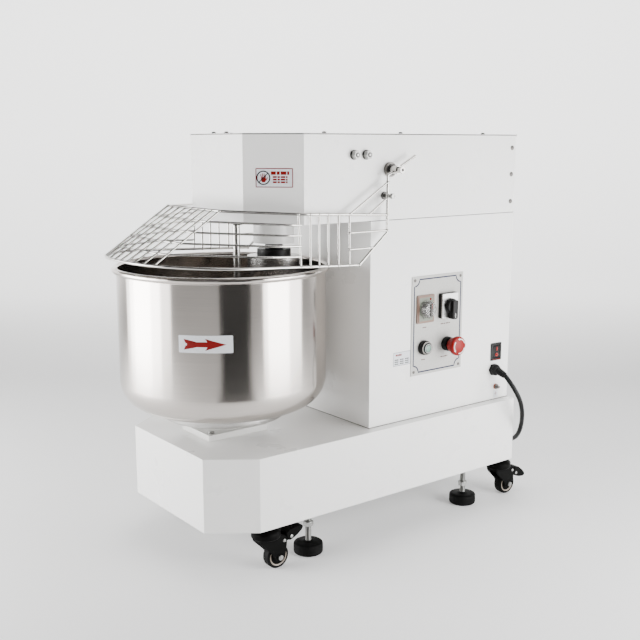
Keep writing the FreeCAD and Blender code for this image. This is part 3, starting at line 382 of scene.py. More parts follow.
def piece(name, bm, material, body, crease=35.0):
    """Makes an object of a finished mesh, smooth but for its creases, and puts it on its body."""
    bmesh.ops.recalc_face_normals(bm, faces=bm.faces)
    mesh = bpy.data.meshes.new(name)
    bm.to_mesh(mesh)
    bm.free()
    mesh.materials.append(material)
    for polygon in mesh.polygons:
        polygon.use_smooth = True
    mesh.set_sharp_from_angle(angle=math.radians(crease))
    obj = bpy.data.objects.new(name, mesh)
    bpy.context.scene.collection.objects.link(obj)
    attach(obj, body)
    return obj


def soften(obj, width):
    """Eases the sharp edges of an object with a narrow round."""
    bevel = obj.modifiers.new("edge_round", "BEVEL")
    bevel.width = width
    bevel.segments = 3
    bevel.limit_method = "ANGLE"
    bevel.angle_limit = math.radians(40)
    bevel.harden_normals = True


# ---------------------------------------------------------------- casing planes shared by the trim
WALL = 0.1714               # the column's side faces
HEAD_HALF_W = 0.1729
HEAD_TOP = 0.808
REAR = 0.39
PANEL_FACE = 0.1729


# ---------------------------------------------------------------- mains cord
CORD_D = 0.01
CORD_EXIT = (0.204, 0.345, 0.291)
CORD_ROUTE = [
    CORD_EXIT,
    (0.231, 0.3565, 0.258),
    (0.227, 0.383, 0.205),
    (0.19, 0.415, 0.138),
    (0.116, 0.461, 0.098),
    (0.034, 0.482, 0.031),
    (-0.036, 0.481, CORD_D / 2),
    (-0.076, 0.477, CORD_D / 2),
]
COIL_CENTRE = (-0.1, 0.528)
COIL_MEAN_R = 0.05
COIL_STEPS = 16             # control points in each turn
PLUG_TAIL = (-0.122, 0.474, 0.015)


def coil_points():
    """Four turns, clockwise from above: low outer, low inner, high inner, high outer."""
    outer = COIL_MEAN_R + CORD_D / 2
    inner = COIL_MEAN_R - CORD_D / 2
    low, high = CORD_D / 2, CORD_D * 1.5
    lanes = [(outer, low), (inner, low), (inner, high), (outer, high)]
    spread = 1.0 / math.cos(math.pi / COIL_STEPS)
    points = []
    for lane, (radius, z) in enumerate(lanes):
        before_r, before_z = lanes[lane - 1] if lane else (radius, z)
        for step in range(COIL_STEPS):
            ease = min(step / 3, 1.0)
            r = (before_r + (radius - before_r) * ease) * spread
            level = before_z + (z - before_z) * ease
            angle = -math.pi / 2 - 2 * math.pi * step / COIL_STEPS
            x, y = COIL_CENTRE[0] + r * math.cos(angle), COIL_CENTRE[1] + r * math.sin(angle)
            points.append((x, y, level))
    last = (COIL_CENTRE[0], COIL_CENTRE[1] - outer * spread, high)
    return points + [last, PLUG_TAIL]


def make_cord():
    points = CORD_ROUTE + coil_points()
    curve = bpy.data.curves.new("mains_cord", "CURVE")
    curve.dimensions = "3D"
    curve.bevel_depth = CORD_D / 2
    curve.bevel_resolution = 5
    curve.resolution_u = 10
    curve.use_fill_caps = True
    spline = curve.splines.new("NURBS")
    spline.points.add(len(points) - 1)
    for target, point in zip(spline.points, points):
        target.co = (*point, 1.0)
    spline.order_u = 3
    spline.use_endpoint_u = True
    curve.materials.append(M_CORD)
    obj = bpy.data.objects.new("mains_cord", curve)
    bpy.context.scene.collection.objects.link(obj)
    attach(obj, "frame")
    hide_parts("cord", "cord_coil")
    plug = make_plug()


def make_plug():
    """A moulded two-pin plug lying on its side, with a ribbed tail and grip ridges."""
    bm = bmesh.new()
    place = at(PLUG_TAIL, -X_AXIS)
    tail = [(0, 0)]
    for i in range(5):
        r = 0.0062 + 0.0007 * i
        z = 0.0044 * i
        tail += [(r, z), (r, z + 0.0028), (r - 0.0011, z + 0.003), (r - 0.0011, z + 0.0043)]
    body = [(0.0095, 0.022), (0.0128, 0.027), (0.0128, 0.032)]
    for i in range(4):
        z = 0.034 + 0.0045 * i
        body += [(0.0121, z), (0.0121, z + 0.0015), (0.0131, z + 0.0022), (0.0131, z + 0.0036)]
    face = [(0.0139, 0.056), (0.0139, 0.0615), (0.0128, 0.062), (0.0, 0.062)]
    turned(bm, tail + body + face, place, 0.0008, 40)
    plug = piece("mains_plug", bm, M_BLACK, "frame", 30)
    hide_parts("cord_plug")

    bm = bmesh.new()
    for offset in (-0.008, 0.008):
        pin = at((PLUG_TAIL[0] - 0.061, PLUG_TAIL[1] + offset, PLUG_TAIL[2]), -X_AXIS)
        turned(bm, [(0, 0), (0.0022, 0), (0.0022, 0.0185), (0.0012, 0.0198), (0, 0.0199)], pin, 0.0003, 16)
    pins = piece("plug_pins", bm, M_BRASS, "frame")
    pins.parent = plug
    return plug


def make_gland():
    """Cable gland: hexagonal nut, dome cap with grip flats and a ribbed strain relief."""
    bm = bmesh.new()
    foot = (WALL, 0.341, 0.3)
    slab(bm, hexagon(0.0235), 0.0, 0.0055, at(foot, X_AXIS), 0.0008)
    cap = [(0, 0), (0.0116, 0.0055), (0.0122, 0.0085), (0.0114, 0.0122), (0.0088, 0.0148), (0.0, 0.0153)]
    turned(bm, cap, at(foot, X_AXIS), 0.0016, 40)
    ribs(bm, foot, 12, rectangle(0.0016, 0.0026, (0.0116, 0)), 0.0056, 0.0115, 0.0004)
    start = Vector((0.184, *foot[1:]))
    along = Vector(CORD_EXIT) - start
    relief = [(0.0, -0.004), (0.0087, 0.0)]
    for i in range(6):
        z = 0.0012 + 0.0036 * i
        r = 0.0087 - 0.00035 * i
        relief += [(r, z), (r, z + 0.0021), (r - 0.0013, z + 0.0024), (r - 0.0013, z + 0.0033)]
    relief += [(0.0062, along.length - 0.0006), (0.0, along.length - 0.0005)]
    turned(bm, relief, at(start, along.normalized()), 0.0006, 32)
    gland = piece("strain_relief", bm, M_BLACK, "frame", 32)
    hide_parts("cord_gland")


make_cord()
make_gland()


# ---------------------------------------------------------------- casings and CAD nodes' finishes
def finish_node(node, material, edge):
    """Gives a CAD node its material and, where edge is not 0, rounded edges on clean flat faces."""
    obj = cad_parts[node]
    obj.data.materials.clear()
    obj.data.materials.append(material)
    if edge:
        weld = obj.modifiers.new("join", "WELD")
        weld.merge_threshold = 0.00002
        merge = obj.modifiers.new("flat_faces", "DECIMATE")
        merge.decimate_type = "DISSOLVE"
        merge.angle_limit = math.radians(0.5)
        soften(obj, edge)


FINISHES = (
    (M_ENAMEL, 0.0009, ("base_shell", "column_shell", "head_shell", "head_lid", "rear_cover")),
    (M_ENAMEL, 0.0006, ("head_plate", "spiral_housing")),
    (M_IRON, 0.001, ("bowl_housing",)),
    (M_MOTOR, 0.0008, ("motor",)),
    (M_ZINC, 0.0, ("chassis_plate",)),
    (M_DULL, 0.0008, ("pivot_bushes",)),
    (M_OILED, 0.0, ("bowl_shaft", "spiral_shaft", "main_shaft", "jackshaft", "motor_pulley", "drive_chains")),
    (M_STEEL, 0.0, ("breaker_bar", "shaft_bearings", "spiral_hook")),
    (M_STEEL, 0.001, ("bowl_hub",)),
    (M_RUBBER, 0.0, ("drive_belt",)),
    (M_BLACK, 0.001, ("spiral_seal",)),
    (M_WIRE, 0.0, ("guard_top_hoop", "guard_low_hoop", "guard_wires", "guard_arms")),
    (M_PANEL, 0.0003, ("control_plate",)),
)
for finish, edge_round, nodes in FINISHES:
    for node_name in nodes:
        finish_node(node_name, finish, edge_round)


# ---------------------------------------------------------------- bowl
BOWL_AXIS = (0.0, -0.246)
BOWL_R = 0.2


def make_bowl():
    """Spun bowl with a round bottom edge and a rolled rim."""
    wall, fillet, bottom = 0.0015, 0.055, 0.289
    rim_z, rim_r, rim_tube = 0.557, 0.2025, 0.0055
    inner_r = BOWL_R - wall
    centre = (BOWL_R - fillet, bottom + fillet)
    outer = [(0.0, bottom)] + arc(fillet, -90, 0, 24, centre)
    outer += [(BOWL_R, bottom + fillet + 0.02 * i) for i in range(1, 10)]
    outer += [(BOWL_R, 0.54), (BOWL_R, 0.549), (BOWL_R, 0.5518)]
    rim = arc(rim_tube, -115, 180, 18, (rim_r, rim_z))
    inner = [(inner_r, z) for z in (rim_z - 0.004, 0.52, 0.42, bottom + fillet)]
    inner += arc(fillet - wall, 0, -90, 24, centre)[1:]
    bm = bmesh.new()
    lathe(bm, outer + rim + inner + [(0.0, bottom + wall)], at((*BOWL_AXIS, 0)), 160)
    bowl = piece("bowl_spun", bm, M_BOWL, "bowl_group", 60)
    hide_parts("bowl")


def bend_on_bowl(bm, azimuth, height, lift):
    """Lays a flat drawing round the bowl: x runs to the right along the wall, y up."""
    for vert in bm.verts:
        angle = azimuth + vert.co.x / BOWL_R
        out = BOWL_R + lift + vert.co.z
        x, y = BOWL_AXIS[0] + out * math.sin(angle), BOWL_AXIS[1] - out * math.cos(angle)
        vert.co = Vector((x, y, height + vert.co.y))


def sliced(bm, width, count):
    """Cuts a drawing into upright strips so that it can bend."""
    for i in range(1, count):
        x = -width / 2 + width * i / count
        geometry = bm.verts[:] + bm.edges[:] + bm.faces[:]
        bmesh.ops.bisect_plane(bm, geom=geometry, plane_co=(x, 0, 0), plane_no=(1, 0, 0))


def make_bowl_label():
    """Direction label: a white plate and a feathered red arrow that points the way of turning."""
    azimuth, height, width = math.radians(49.4), 0.446, 0.0964
    bm = bmesh.new()
    slab(bm, rectangle(width, 0.031, (0, 0), 0.002), 0.0, 0.0003, AS_DRAWN)
    sliced(bm, width, 18)
    bend_on_bowl(bm, azimuth, height, 0.0001)
    piece("bowl_label", bm, M_LABEL, "bowl_group", 20)

    bm = bmesh.new()
    ink = 0.00025
    shaft = [(-0.033, -0.0044), (0.006, -0.0046), (0.006, 0.0046), (-0.033, 0.0044)]
    head = [(0.0045, -0.009), (0.037, 0.0), (0.0045, 0.009)]
    slab(bm, shaft, 0.0, ink, AS_DRAWN)
    slab(bm, head, 0.0, ink, AS_DRAWN)
    for side in (1, -1):
        barb = [(-0.0005, 0.0108), (0.01, 0.0074), (0.0075, 0.004), (0.004, 0.004)]
        slab(bm, [(x, y * side) for x, y in barb], 0.0, ink, AS_DRAWN)
        for i in range(3):
            x = -0.0388 + 0.007 * i
            feather = [(x, 0.0098 - 0.0014 * i), (x + 0.0085, 0.0076 - 0.0014 * i), (x + 0.0105, 0.002),
                       (x + 0.0035, 0.002)]
            slab(bm, [(u, v * side) for u, v in feather], 0.0, ink, AS_DRAWN)
    sliced(bm, 0.078, 15)
    bend_on_bowl(bm, azimuth, height - 0.0005, 0.00038)
    piece("bowl_arrow", bm, M_INK_RED, "bowl_group", 20)


make_bowl()
make_bowl_label()


# ---------------------------------------------------------------- screws and bolts
def dome_screw(bm, point, axis, radius, height, turn=0.0):
    """A dome head with a hexagonal socket."""
    place = at(point, axis, turn)
    socket = radius * 0.42
    lip_r, lip_z = socket * 1.05, height * 0.98
    profile = [(0, 0), (radius * 0.94, 0.0), (radius, height * 0.12), (radius * 0.93, height * 0.45),
               (radius * 0.7, height * 0.82), (lip_r, lip_z)]
    lathe(bm, profile, place, 24)
    rim = []
    for i in range(24):
        angle = 2 * math.pi * i / 24
        rim.append(bm.verts.new(place @ Vector((lip_r * math.cos(angle), lip_r * math.sin(angle), lip_z))))
    corners = hexagon(socket * 1.6)
    lip = [bm.verts.new(place @ Vector((*c, height * 0.96))) for c in corners]
    floor = [bm.verts.new(place @ Vector((*c, height * 0.35))) for c in corners]
    for i in range(6):
        j = (i + 1) % 6
        bm.faces.new((lip[i], lip[j], floor[j], floor[i]))
        bm.faces.new([rim[(4 * i + k) % 24] for k in range(5)] + [lip[j], lip[i]])
    bm.faces.new(floor)


def make_screws():
    bm = bmesh.new()
    for side in (1, -1):
        for z in (0.667, 0.7245, 0.78):
            dome_screw(bm, (side * HEAD_HALF_W, REAR - 0.014, z), X_AXIS * side, 0.005, 0.0026, 7000 * z)
        for y in (-0.12, 0.068, 0.3):
            dome_screw(bm, (side * 0.158, y, HEAD_TOP), Z_AXIS, 0.0045, 0.0034, 9000 * y)
        for z in (0.27, 0.43, 0.6):
            dome_screw(bm, (side * 0.15, REAR, z), Y_AXIS, 0.005, 0.0026, 5000 * z)
    for x in (-0.02, 0.025):
        dome_screw(bm, (x, -0.246, HEAD_TOP), Z_AXIS, 0.0045, 0.0034)
    for y in (0.1005, 0.2295):
        for z in (0.329, 0.518):
            dome_screw(bm, (0.1729, y, z), X_AXIS, 0.0032, 0.0016, 3000 * y)
    screws = piece("socket_screws", bm, M_DULL, "frame", 25)
    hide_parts("cover_screws")


def hex_head(bm, point, axis, across, height, turn=0.0, hole=0.0):
    """A hexagon head or nut with a turned top edge and, if asked, a blind hole in the end."""
    place = at(point, axis, turn)
    slab(bm, hexagon(across), 0.0, height * 0.86, place, across * 0.03)
    top = across * 0.47
    profile = [(top, height * 0.84), (top * 0.93, height)]
    if hole:
        profile += [(hole, height), (hole * 0.9, height * 0.6), (0.0, height * 0.6)]
    else:
        profile += [(0.0, height)]
    turned(bm, profile, place, 0.0003, 32)


def washer(bm, point, axis, radius, inner, height):
    ring = [(inner, 0.0), (radius, 0.0), (radius, height), (inner, height), (inner, 0.0)]
    turned(bm, ring, at(point, axis), 0.0003, 36)


def make_bolts():
    """Head, stop, housing and flange bolts, and the earth stud."""
    bm = bmesh.new()
    dark = bmesh.new()
    for side in (1, -1):
        face = side * HEAD_HALF_W
        out = X_AXIS * side
        for y in (-0.0615, -0.032):
            washer(dark, (face, y, 0.7685), out, 0.0092, 0.004, 0.0022)
            seat = (face + side * 0.0021, y, 0.7685)
            hex_head(bm, seat, out, 0.015, 0.0094, 10, 0.005)
            # a dark fill inside each nut's bore: painted shade in the hole round the stud
            turned(dark, [(0.005, 0.0), (0.005, 0.0086), (0.0, 0.0086)], at(seat, out), 0.0, 24)
            stud = [(0.0028, 0.0), (0.0028, 0.01), (0.002, 0.0105), (0.0, 0.0105)]
            turned(bm, stud, at(seat, out), 0.0, 24)
        stop = (face, 0.014, 0.691)
        washer(dark, stop, out, 0.0075, 0.0031, 0.003)
        turned(bm, [(0.003, 0.0), (0.003, 0.0225)], at(stop, out), 0.0, 24)
        hex_head(bm, (face + side * 0.022, *stop[1:]), out, 0.01, 0.006, 0, 0.0024)
    for x, y in ((0.038, -0.188), (-0.038, -0.188), (0.092, -0.098), (-0.092, -0.098)):
        hex_head(bm, (x, y, 0.644), -Z_AXIS, 0.013, 0.006)
    for x in (0.04, -0.04):
        for y in (-0.302, -0.19):
            hex_head(bm, (x, y, 0.243), Z_AXIS, 0.01, 0.005)
    bolts = piece("bolts", bm, M_ZINC, "frame", 30)
    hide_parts("frame_bolts")
    earth = (WALL, 0.3505, 0.26)
    stud = bmesh.new()
    hex_head(stud, (WALL + 0.0028, *earth[1:]), X_AXIS, 0.01, 0.0042)
    rod = [(0.003, 0.0), (0.003, 0.0115), (0.0024, 0.012), (0.0, 0.012)]
    turned(stud, rod, at(earth, X_AXIS), 0.0, 24)
    piece("earth_stud", stud, M_DULL, "frame", 30)
    # the dark washers, and the painted shade in the nut bores
    piece("bolt_washers_and_bore_shade", dark, M_OILED, "frame")
    copper = bmesh.new()
    washer(copper, earth, X_AXIS, 0.0062, 0.0031, 0.0012)
    washer(copper, (WALL + 0.0016, *earth[1:]), X_AXIS, 0.0058, 0.0031, 0.0012)
    piece("earth_washers", copper, M_COPPER, "frame")


def casing_outline(half_w, front, rear, chamfer_x=0.0, chamfer_y=0.0):
    """A casing seen from above, with or without slanted front corners."""
    if not chamfer_x:
        return (half_w, rear), (-half_w, rear), (-half_w, front), (half_w, front)
    nose = half_w - chamfer_x
    bend = front + chamfer_y
    return (half_w, rear), (-half_w, rear), (-half_w, bend), (-nose, front), (nose, front), (half_w, bend)


def make_seams():
    """Painted shadow: thin dark strips for the shaded gaps under the lid, between head and column, and where
    the column stands on the base.
    """
    bm = bmesh.new()
    proud = 0.0003
    head = casing_outline(HEAD_HALF_W + proud, -0.255 - proud, REAR + proud, 0.081, 0.078)
    column = casing_outline(WALL + proud, -0.017 - proud, REAR + proud)
    # each strip is a painted shadow band laid 0.3 mm proud of the casing
    slab(bm, head, HEAD_TOP - 0.0024, HEAD_TOP - 0.0008, AS_DRAWN)
    slab(bm, column, 0.6425, 0.6441, AS_DRAWN)
    slab(bm, column, 0.2309, 0.2321, AS_DRAWN)
    piece("casing_seam_shadows", bm, M_SEAM_SHADOW, "frame")


def make_pivot_caps():
    """A thin dark disc on each guard pivot's end, painted shade in place of an end hole, and a lock washer.
    """
    bm = bmesh.new()
    pivot = (0.027, 0.74)
    # a 0.3 mm dark disc on the flat end face: painted shade standing in for the hole
    hole = [(0.0033, 0.0), (0.0033, 0.0003), (0.0, 0.0003)]
    for side in (1, -1):
        out = X_AXIS * side
        turned(bm, hole, at((side * 0.211, *pivot), out), 0.0, 20)
        washer(bm, (side * 0.1792, *pivot), out, 0.0112, 0.0084, 0.0016)
    piece("pivot_caps", bm, M_OILED, "guard")


make_screws()
make_bolts()
make_seams()
make_pivot_caps()


# ---------------------------------------------------------------- guard welds
SLOPE = 0.048
ARM_Y = 0.008


def on_hoop(plane_z, y):
    """Height of a sloping hoop at y; plane_z is its height at the arms."""
    return plane_z + SLOPE * (ARM_Y - y)


def low_hoop_y(x):
    """y of the guard's bottom hoop in front: straight in the middle, then round to each side."""
    nose_y, bend_r, straight_half = -0.458, 0.168, 0.022
    beyond = max(abs(x) - straight_half, 0.0)
    return nose_y + bend_r - math.sqrt(bend_r ** 2 - beyond ** 2)


def make_welds():
    """Small resistance-weld lumps where the guard's wires cross its hoops."""
    bm = bmesh.new()
    top_z, low_z = 0.6555, 0.561
    bars, hoops = 9, 4
    for i in range(bars):
        x = 0.095 - i * 0.19 / (bars - 1)
        front = low_hoop_y(x)
        for step in range(hoops + 2):
            share = step / (hoops + 1)
            y = -0.307 + share * (front + 0.307)
            bead(bm, (x, y, on_hoop(top_z + share * (low_z - top_z), y)), 0.0031)
    for y in (-0.197, -0.176, -0.156, -0.135, -0.111, -0.085):
        for side in (1, -1):
            x_top = 0.19 if y > -0.187 else 0.19 - (-0.187 - y) / 0.12 * 0.095
            bead(bm, (side * x_top, y, on_hoop(top_z, y)), 0.0036)
            bead(bm, (side * 0.19, y, on_hoop(low_z, y)), 0.0036)
    for side in (1, -1):
        x = side * 0.19
        for y, z in ((-0.085, 0.626), (-0.085, 0.595), (ARM_Y, 0.626), (ARM_Y, 0.717), (ARM_Y, 0.688),
                     (ARM_Y, on_hoop(top_z, ARM_Y)), (-0.061, on_hoop(low_z, -0.061))):
            bead(bm, (x, y, z), 0.0036)
    piece("guard_welds", bm, M_WIRE, "guard", 60)


make_welds()


# ---------------------------------------------------------------- control panel
PANEL_MIDDLE = (0.165, 0.4235)


def panel_line(inset, notch):
    """The printed border: straight sides with a quarter-round bite at each corner."""
    half_w, half_h = 0.0725 - inset, 0.1025 - inset
    points = []
    for sx, sy, start in ((1, 1, 270), (-1, 1, 360), (-1, -1, 90), (1, -1, 180)):
        points += arc(notch, start, start - 90, 6, (sx * half_w, sy * half_h))
    return points


def text_bars(bm, place, x, y, width, rows=1, pitch=0.003, height=0.0018, lift=0.0):
    """Small printed dashes where the maker's wording would be."""
    for row in range(rows):
        cursor = x - width / 2
        for share in (0.3, 0.18, 0.34, 0.12):
            bar = rectangle(width * share * 0.82, height, (cursor + width * share / 2, y - row * pitch))
            slab(bm, bar, lift + 0.00005, lift + 0.00015, place)
            cursor += width * share


def make_panel():
    """The printed border and the small captions under the four controls."""
    place = side_at((PANEL_FACE, *PANEL_MIDDLE))
    bm = bmesh.new()
    strip(bm, panel_line(0.0065, 0.014), 0.0027, 0.00002, 0.00016, place, True)
    piece("panel_border", bm, M_INK_NAVY, "frame")
    bm = bmesh.new()
    for x, y, width in ((-0.036, -0.004, 0.012), (0.024, -0.002, 0.03), (-0.038, -0.071, 0.012),
                        (0.022, -0.072, 0.022)):
        text_bars(bm, place, x, y, width)
    piece("panel_print", bm, M_INK_BROWN, "frame")


def make_timer():
    """Interval timer: stepped beige frame, printed scale of 30 minutes, clear knob with a dark core."""
    middle = (PANEL_FACE, 0.129, 0.458)
    place = side_at(middle)
    bm = bmesh.new()
    slab(bm, rectangle(0.048, 0.058, (0, 0), 0.003), 0.0, 0.0032, place, 0.0006)
    slab(bm, rectangle(0.043, 0.053, (0, 0), 0.002), 0.003, 0.0044, place, 0.0005)
    body = piece("timer_frame", bm, M_BEIGE, "frame")
    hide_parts("timer_body")
    bm = bmesh.new()
    slab(bm, rectangle(0.038, 0.048, (0, 0), 0.001), 0.0042, 0.0047, place)
    piece("timer_face", bm, M_DIAL, "frame")
    bm = bmesh.new()
    for minute in range(31):
        angle = math.radians(240 - 10 * minute)
        outer = 0.0193 if minute % 5 else 0.02
        direction = Vector((math.cos(angle), math.sin(angle)))
        strip(bm, [direction * 0.0183, direction * outer], 0.0008, 0.0046, 0.0049, place)
    piece("timer_ticks", bm, M_INK_BLACK, "frame")
    for i, number in enumerate(("0", "10", "20", "30")):
        angle = math.radians(240 - 100 * i)
        label = bpy.data.curves.new("timer_number_" + number, "FONT")
        label.body = number
        label.size = 0.0045
        label.extrude = 0.0001
        label.align_x = "CENTER"
        label.align_y = "CENTER"
        label.materials.append(M_INK_BLACK)
        obj = bpy.data.objects.new("timer_number_" + number, label)
        bpy.context.scene.collection.objects.link(obj)
        spot = Vector((0.0155 * math.cos(angle) * 1.05, 0.0215 * math.sin(angle), 0.0048))
        obj.matrix_world = place @ Matrix.Translation(spot)
        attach(obj, "frame")
    bm = bmesh.new()
    lamp = place @ Matrix.Translation((0.011, 0.02, 0.0044))
    turned(bm, [(0, 0), (0.0024, 0), (0.0024, 0.0008), (0.0015, 0.0016), (0, 0.0018)], lamp, 0.0, 16)
    piece("timer_lamp", bm, M_RED, "frame")

    bm = bmesh.new()
    cap = [(0, 0.0056), (0.0168, 0.0056), (0.017, 0.008), (0.016, 0.0172), (0.0146, 0.0188), (0, 0.0192)]
    turned(bm, cap, at(middle, X_AXIS), 0.0012, 64)
    ribs(bm, middle, 24, rectangle(0.001, 0.0014, (0.0163, 0)), 0.0068, 0.016, 0.0003)
    knob = piece("timer_cap", bm, M_CLEAR, "timer_dial")
    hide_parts("timer_knob")
    bm = bmesh.new()
    core = [(0, 0.0052), (0.013, 0.0052), (0.013, 0.0056), (0, 0.0056)]
    turned(bm, core, at(middle, X_AXIS), 0.0, 48)
    slab(bm, rectangle(0.0055, 0.027, (0, 0), 0.0015), 0.019, 0.0212, place, 0.0006)
    piece("timer_core", bm, M_OILED, "timer_dial")
    bm = bmesh.new()
    slab(bm, rectangle(0.001, 0.01, (0, 0.008)), 0.0212, 0.0215, place)
    piece("timer_pointer", bm, M_INK_RED, "timer_dial")


def make_selector():
    """Cam switch: black housing, brushed square plate, round base and a wedge lever."""
    middle = (PANEL_FACE, 0.191, 0.46)
    place = side_at(middle)
    bm = bmesh.new()
    slab(bm, rectangle(0.046, 0.052, (0, 0), 0.002), 0.0, 0.0085, place, 0.0008)
    housing = piece("selector_housing", bm, M_BLACK, "frame")
    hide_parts("selector_base")
    bm = bmesh.new()
    slab(bm, rectangle(0.0455, 0.0515, (0, 0), 0.002), 0.0083, 0.011, place, 0.0007)
    piece("selector_face", bm, M_BRUSHED, "frame")
    bm = bmesh.new()
    for turn in (-135, -90, -45):
        direction = Vector((math.cos(math.radians(turn)), math.sin(math.radians(turn))))
        strip(bm, [direction * 0.0212, direction * 0.0238], 0.001, 0.0109, 0.0111, place)
    piece("selector_marks", bm, M_INK_BLACK, "frame")

    bm = bmesh.new()
    disc = [(0, 0.0116), (0.0155, 0.0116), (0.0155, 0.0165), (0.014, 0.02), (0.0, 0.0205)]
    turned(bm, disc, at(middle, X_AXIS), 0.0015, 56)
    wedge = [(-0.0066, -0.0268), (0.0066, -0.0268), (0.0076, 0.0125), (-0.0076, 0.0125)]
    slab(bm, rounded(wedge, 0.003, 4, True), 0.0121, 0.0268, place, 0.0014)
    knob = piece("selector_handle", bm, M_BLACK, "selector_lever")
    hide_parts("selector_knob")
    bm = bmesh.new()
    slab(bm, rectangle(0.0012, 0.009, (0, -0.019)), 0.0267, 0.02695, place)
    piece("selector_line", bm, M_INK_WHITE, "selector_lever")


def make_buttons():
    """Start and emergency stop: ribbed collars, a green push with a pale ring, a red mushroom."""
    start_at, stop_at = (PANEL_FACE, 0.1265, 0.378), (PANEL_FACE, 0.1925, 0.378)
    start_axis, stop_axis = at(start_at, X_AXIS), at(stop_at, X_AXIS)
    bm = bmesh.new()
    for middle, inner in ((start_at, 0.0112), (stop_at, 0.0104)):
        collar = [(inner, 0.0), (0.015, 0.0), (0.015, 0.0088), (0.0138, 0.0118), (inner + 0.0008, 0.012),
                  (inner, 0.011), (inner, 0.0)]
        sleeve = [(0.009, -0.015), (0.011, -0.015), (0.011, 0.0), (0.009, 0.0), (0.009, -0.015)]
        turned(bm, collar, at(middle, X_AXIS), 0.0008, 56)
        turned(bm, sleeve, at(middle, X_AXIS), 0.0, 32)
        ribs(bm, middle, 20, rectangle(0.001, 0.002, (0.0146, 0)), 0.0012, 0.008, 0.0003)
    collars = piece("button_rings", bm, M_BLACK, "frame", 30)
    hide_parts("button_collars")
    bm = bmesh.new()
    bezel = [(0.0113, 0.01), (0.014, 0.0112), (0.0135, 0.0124), (0.0115, 0.0126), (0.0112, 0.0118)]
    turned(bm, bezel, start_axis, 0.0004, 56)
    piece("start_bezel", bm, M_DULL, "frame")

    bm = bmesh.new()
    cap = [(0, -0.01), (0.0086, -0.01), (0.0086, 0.0042), (0.0108, 0.0045), (0.0108, 0.0138),
           (0.0098, 0.0152), (0.009, 0.0154), (0.0086, 0.0146), (0.0, 0.0149)]
    turned(bm, cap, start_axis, 0.0006, 56)
    start = piece("start_cap", bm, M_DARK_GREEN, "start_push", 30)
    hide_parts("start_button")
    bm = bmesh.new()
    strip(bm, arc(0.0086, 0, 350, 35), 0.0006, 0.0147, 0.0156, side_at(start_at), True)
    piece("start_ring", bm, M_INK_WHITE, "start_push")
    bm = bmesh.new()
    turned(bm, [(0, 0.0146), (0.007, 0.0147), (0.0068, 0.0156), (0, 0.016)], start_axis, 0.0003, 48)
    piece("start_lens", bm, M_GREEN, "start_push")

    bm = bmesh.new()
    head = [(0, -0.01), (0.0086, -0.01), (0.0086, 0.0168), (0.015, 0.0172), (0.0162, 0.0272),
            (0.0196, 0.0284), (0.02, 0.0305), (0.02, 0.0355), (0.0185, 0.0376), (0.013, 0.0392),
            (0.006, 0.0403), (0, 0.0406)]
    turned(bm, head, stop_axis, 0.001, 64)
    stop = piece("stop_mushroom", bm, M_RED, "stop_push", 40)
    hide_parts("stop_button")
    bm = bmesh.new()
    for start_turn in (20, 140, 260):
        curve = arc(0.015, start_turn, start_turn + 70, 10)
        strip(bm, curve, 0.002, 0.0375, 0.0392, side_at(stop_at))
        tip_turn = math.radians(start_turn + 70)
        tip = Vector(curve[-1])
        out = Vector((math.cos(tip_turn), math.sin(tip_turn)))
        point = tip + Vector((-out.y, out.x)) * 0.0042
        slab(bm, [tip - out * 0.0024, tip + out * 0.0024, point], 0.0375, 0.0392, side_at(stop_at))
    piece("stop_arrows", bm, M_INK_WHITE, "stop_push")


def make_power_switch():
    """Power switch: a framed well and a dished rocker with plain on and off marks, given a faint painted
    glow.
    """
    y, z = 0.34775, 0.3395
    place = side_at((WALL, y, z))
    bm = bmesh.new()
    outer = rectangle(0.0325, 0.039, (0, 0), 0.002)
    inner = rectangle(0.0215, 0.028, (0, 0), 0.0008)
    levels = ((outer, 0.0), (outer, 0.0022), (inner, 0.003), (inner, -0.014))
    rings = []
    for outline, height in levels:
        rings.append([bm.verts.new(place @ Vector((p.x, p.y, height))) for p in outline])
    for low, high in zip(rings, rings[1:]):
        for i in range(len(low)):
            j = (i + 1) % len(low)
            bm.faces.new((low[i], low[j], high[j], high[i]))
    bm.faces.new(rings[-1])
    bezel = piece("switch_bezel", bm, M_BLACK, "frame")
    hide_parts("switch_frame")
    bm = bmesh.new()
    profile = [(-0.0125, 0.0005), (-0.0125, 0.004), (0.0, 0.0022), (0.0125, 0.004), (0.0125, 0.0005)]
    profile = rounded(profile, 0.002, 4)
    near, far = [], []
    for u, out in profile:
        near.append(bm.verts.new((WALL + out, y - 0.01, z + u)))
        far.append(bm.verts.new((WALL + out, y + 0.01, z + u)))
    bm.faces.new(near)
    bm.faces.new(list(reversed(far)))
    for i in range(len(near)):
        j = (i + 1) % len(near)
        bm.faces.new((near[i], far[i], far[j], near[j]))
    rocker = piece("rocker_cap", bm, M_BLACK, "power_switch")
    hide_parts("power_rocker")
    bm = bmesh.new()
    # the on and off marks glow faintly: painted light on printed marks
    strip(bm, [(0, 0.0025), (0, 0.0105)], 0.0014, 0.0035, 0.00445, place)
    strip(bm, arc(0.003, 0, 340, 17, (0, -0.0065)), 0.0011, 0.0032, 0.0043, place, True)
    piece("rocker_marks", bm, M_GLOWING_MARKS, "power_switch")
    bm = bmesh.new()
    strip(bm, [(-0.012, -0.0168), (0.012, -0.0168)], 0.001, 0.0022, 0.0031, place)
    piece("switch_line", bm, M_INK_RED, "frame")


make_panel()
make_timer()
make_selector()
make_buttons()
make_power_switch()


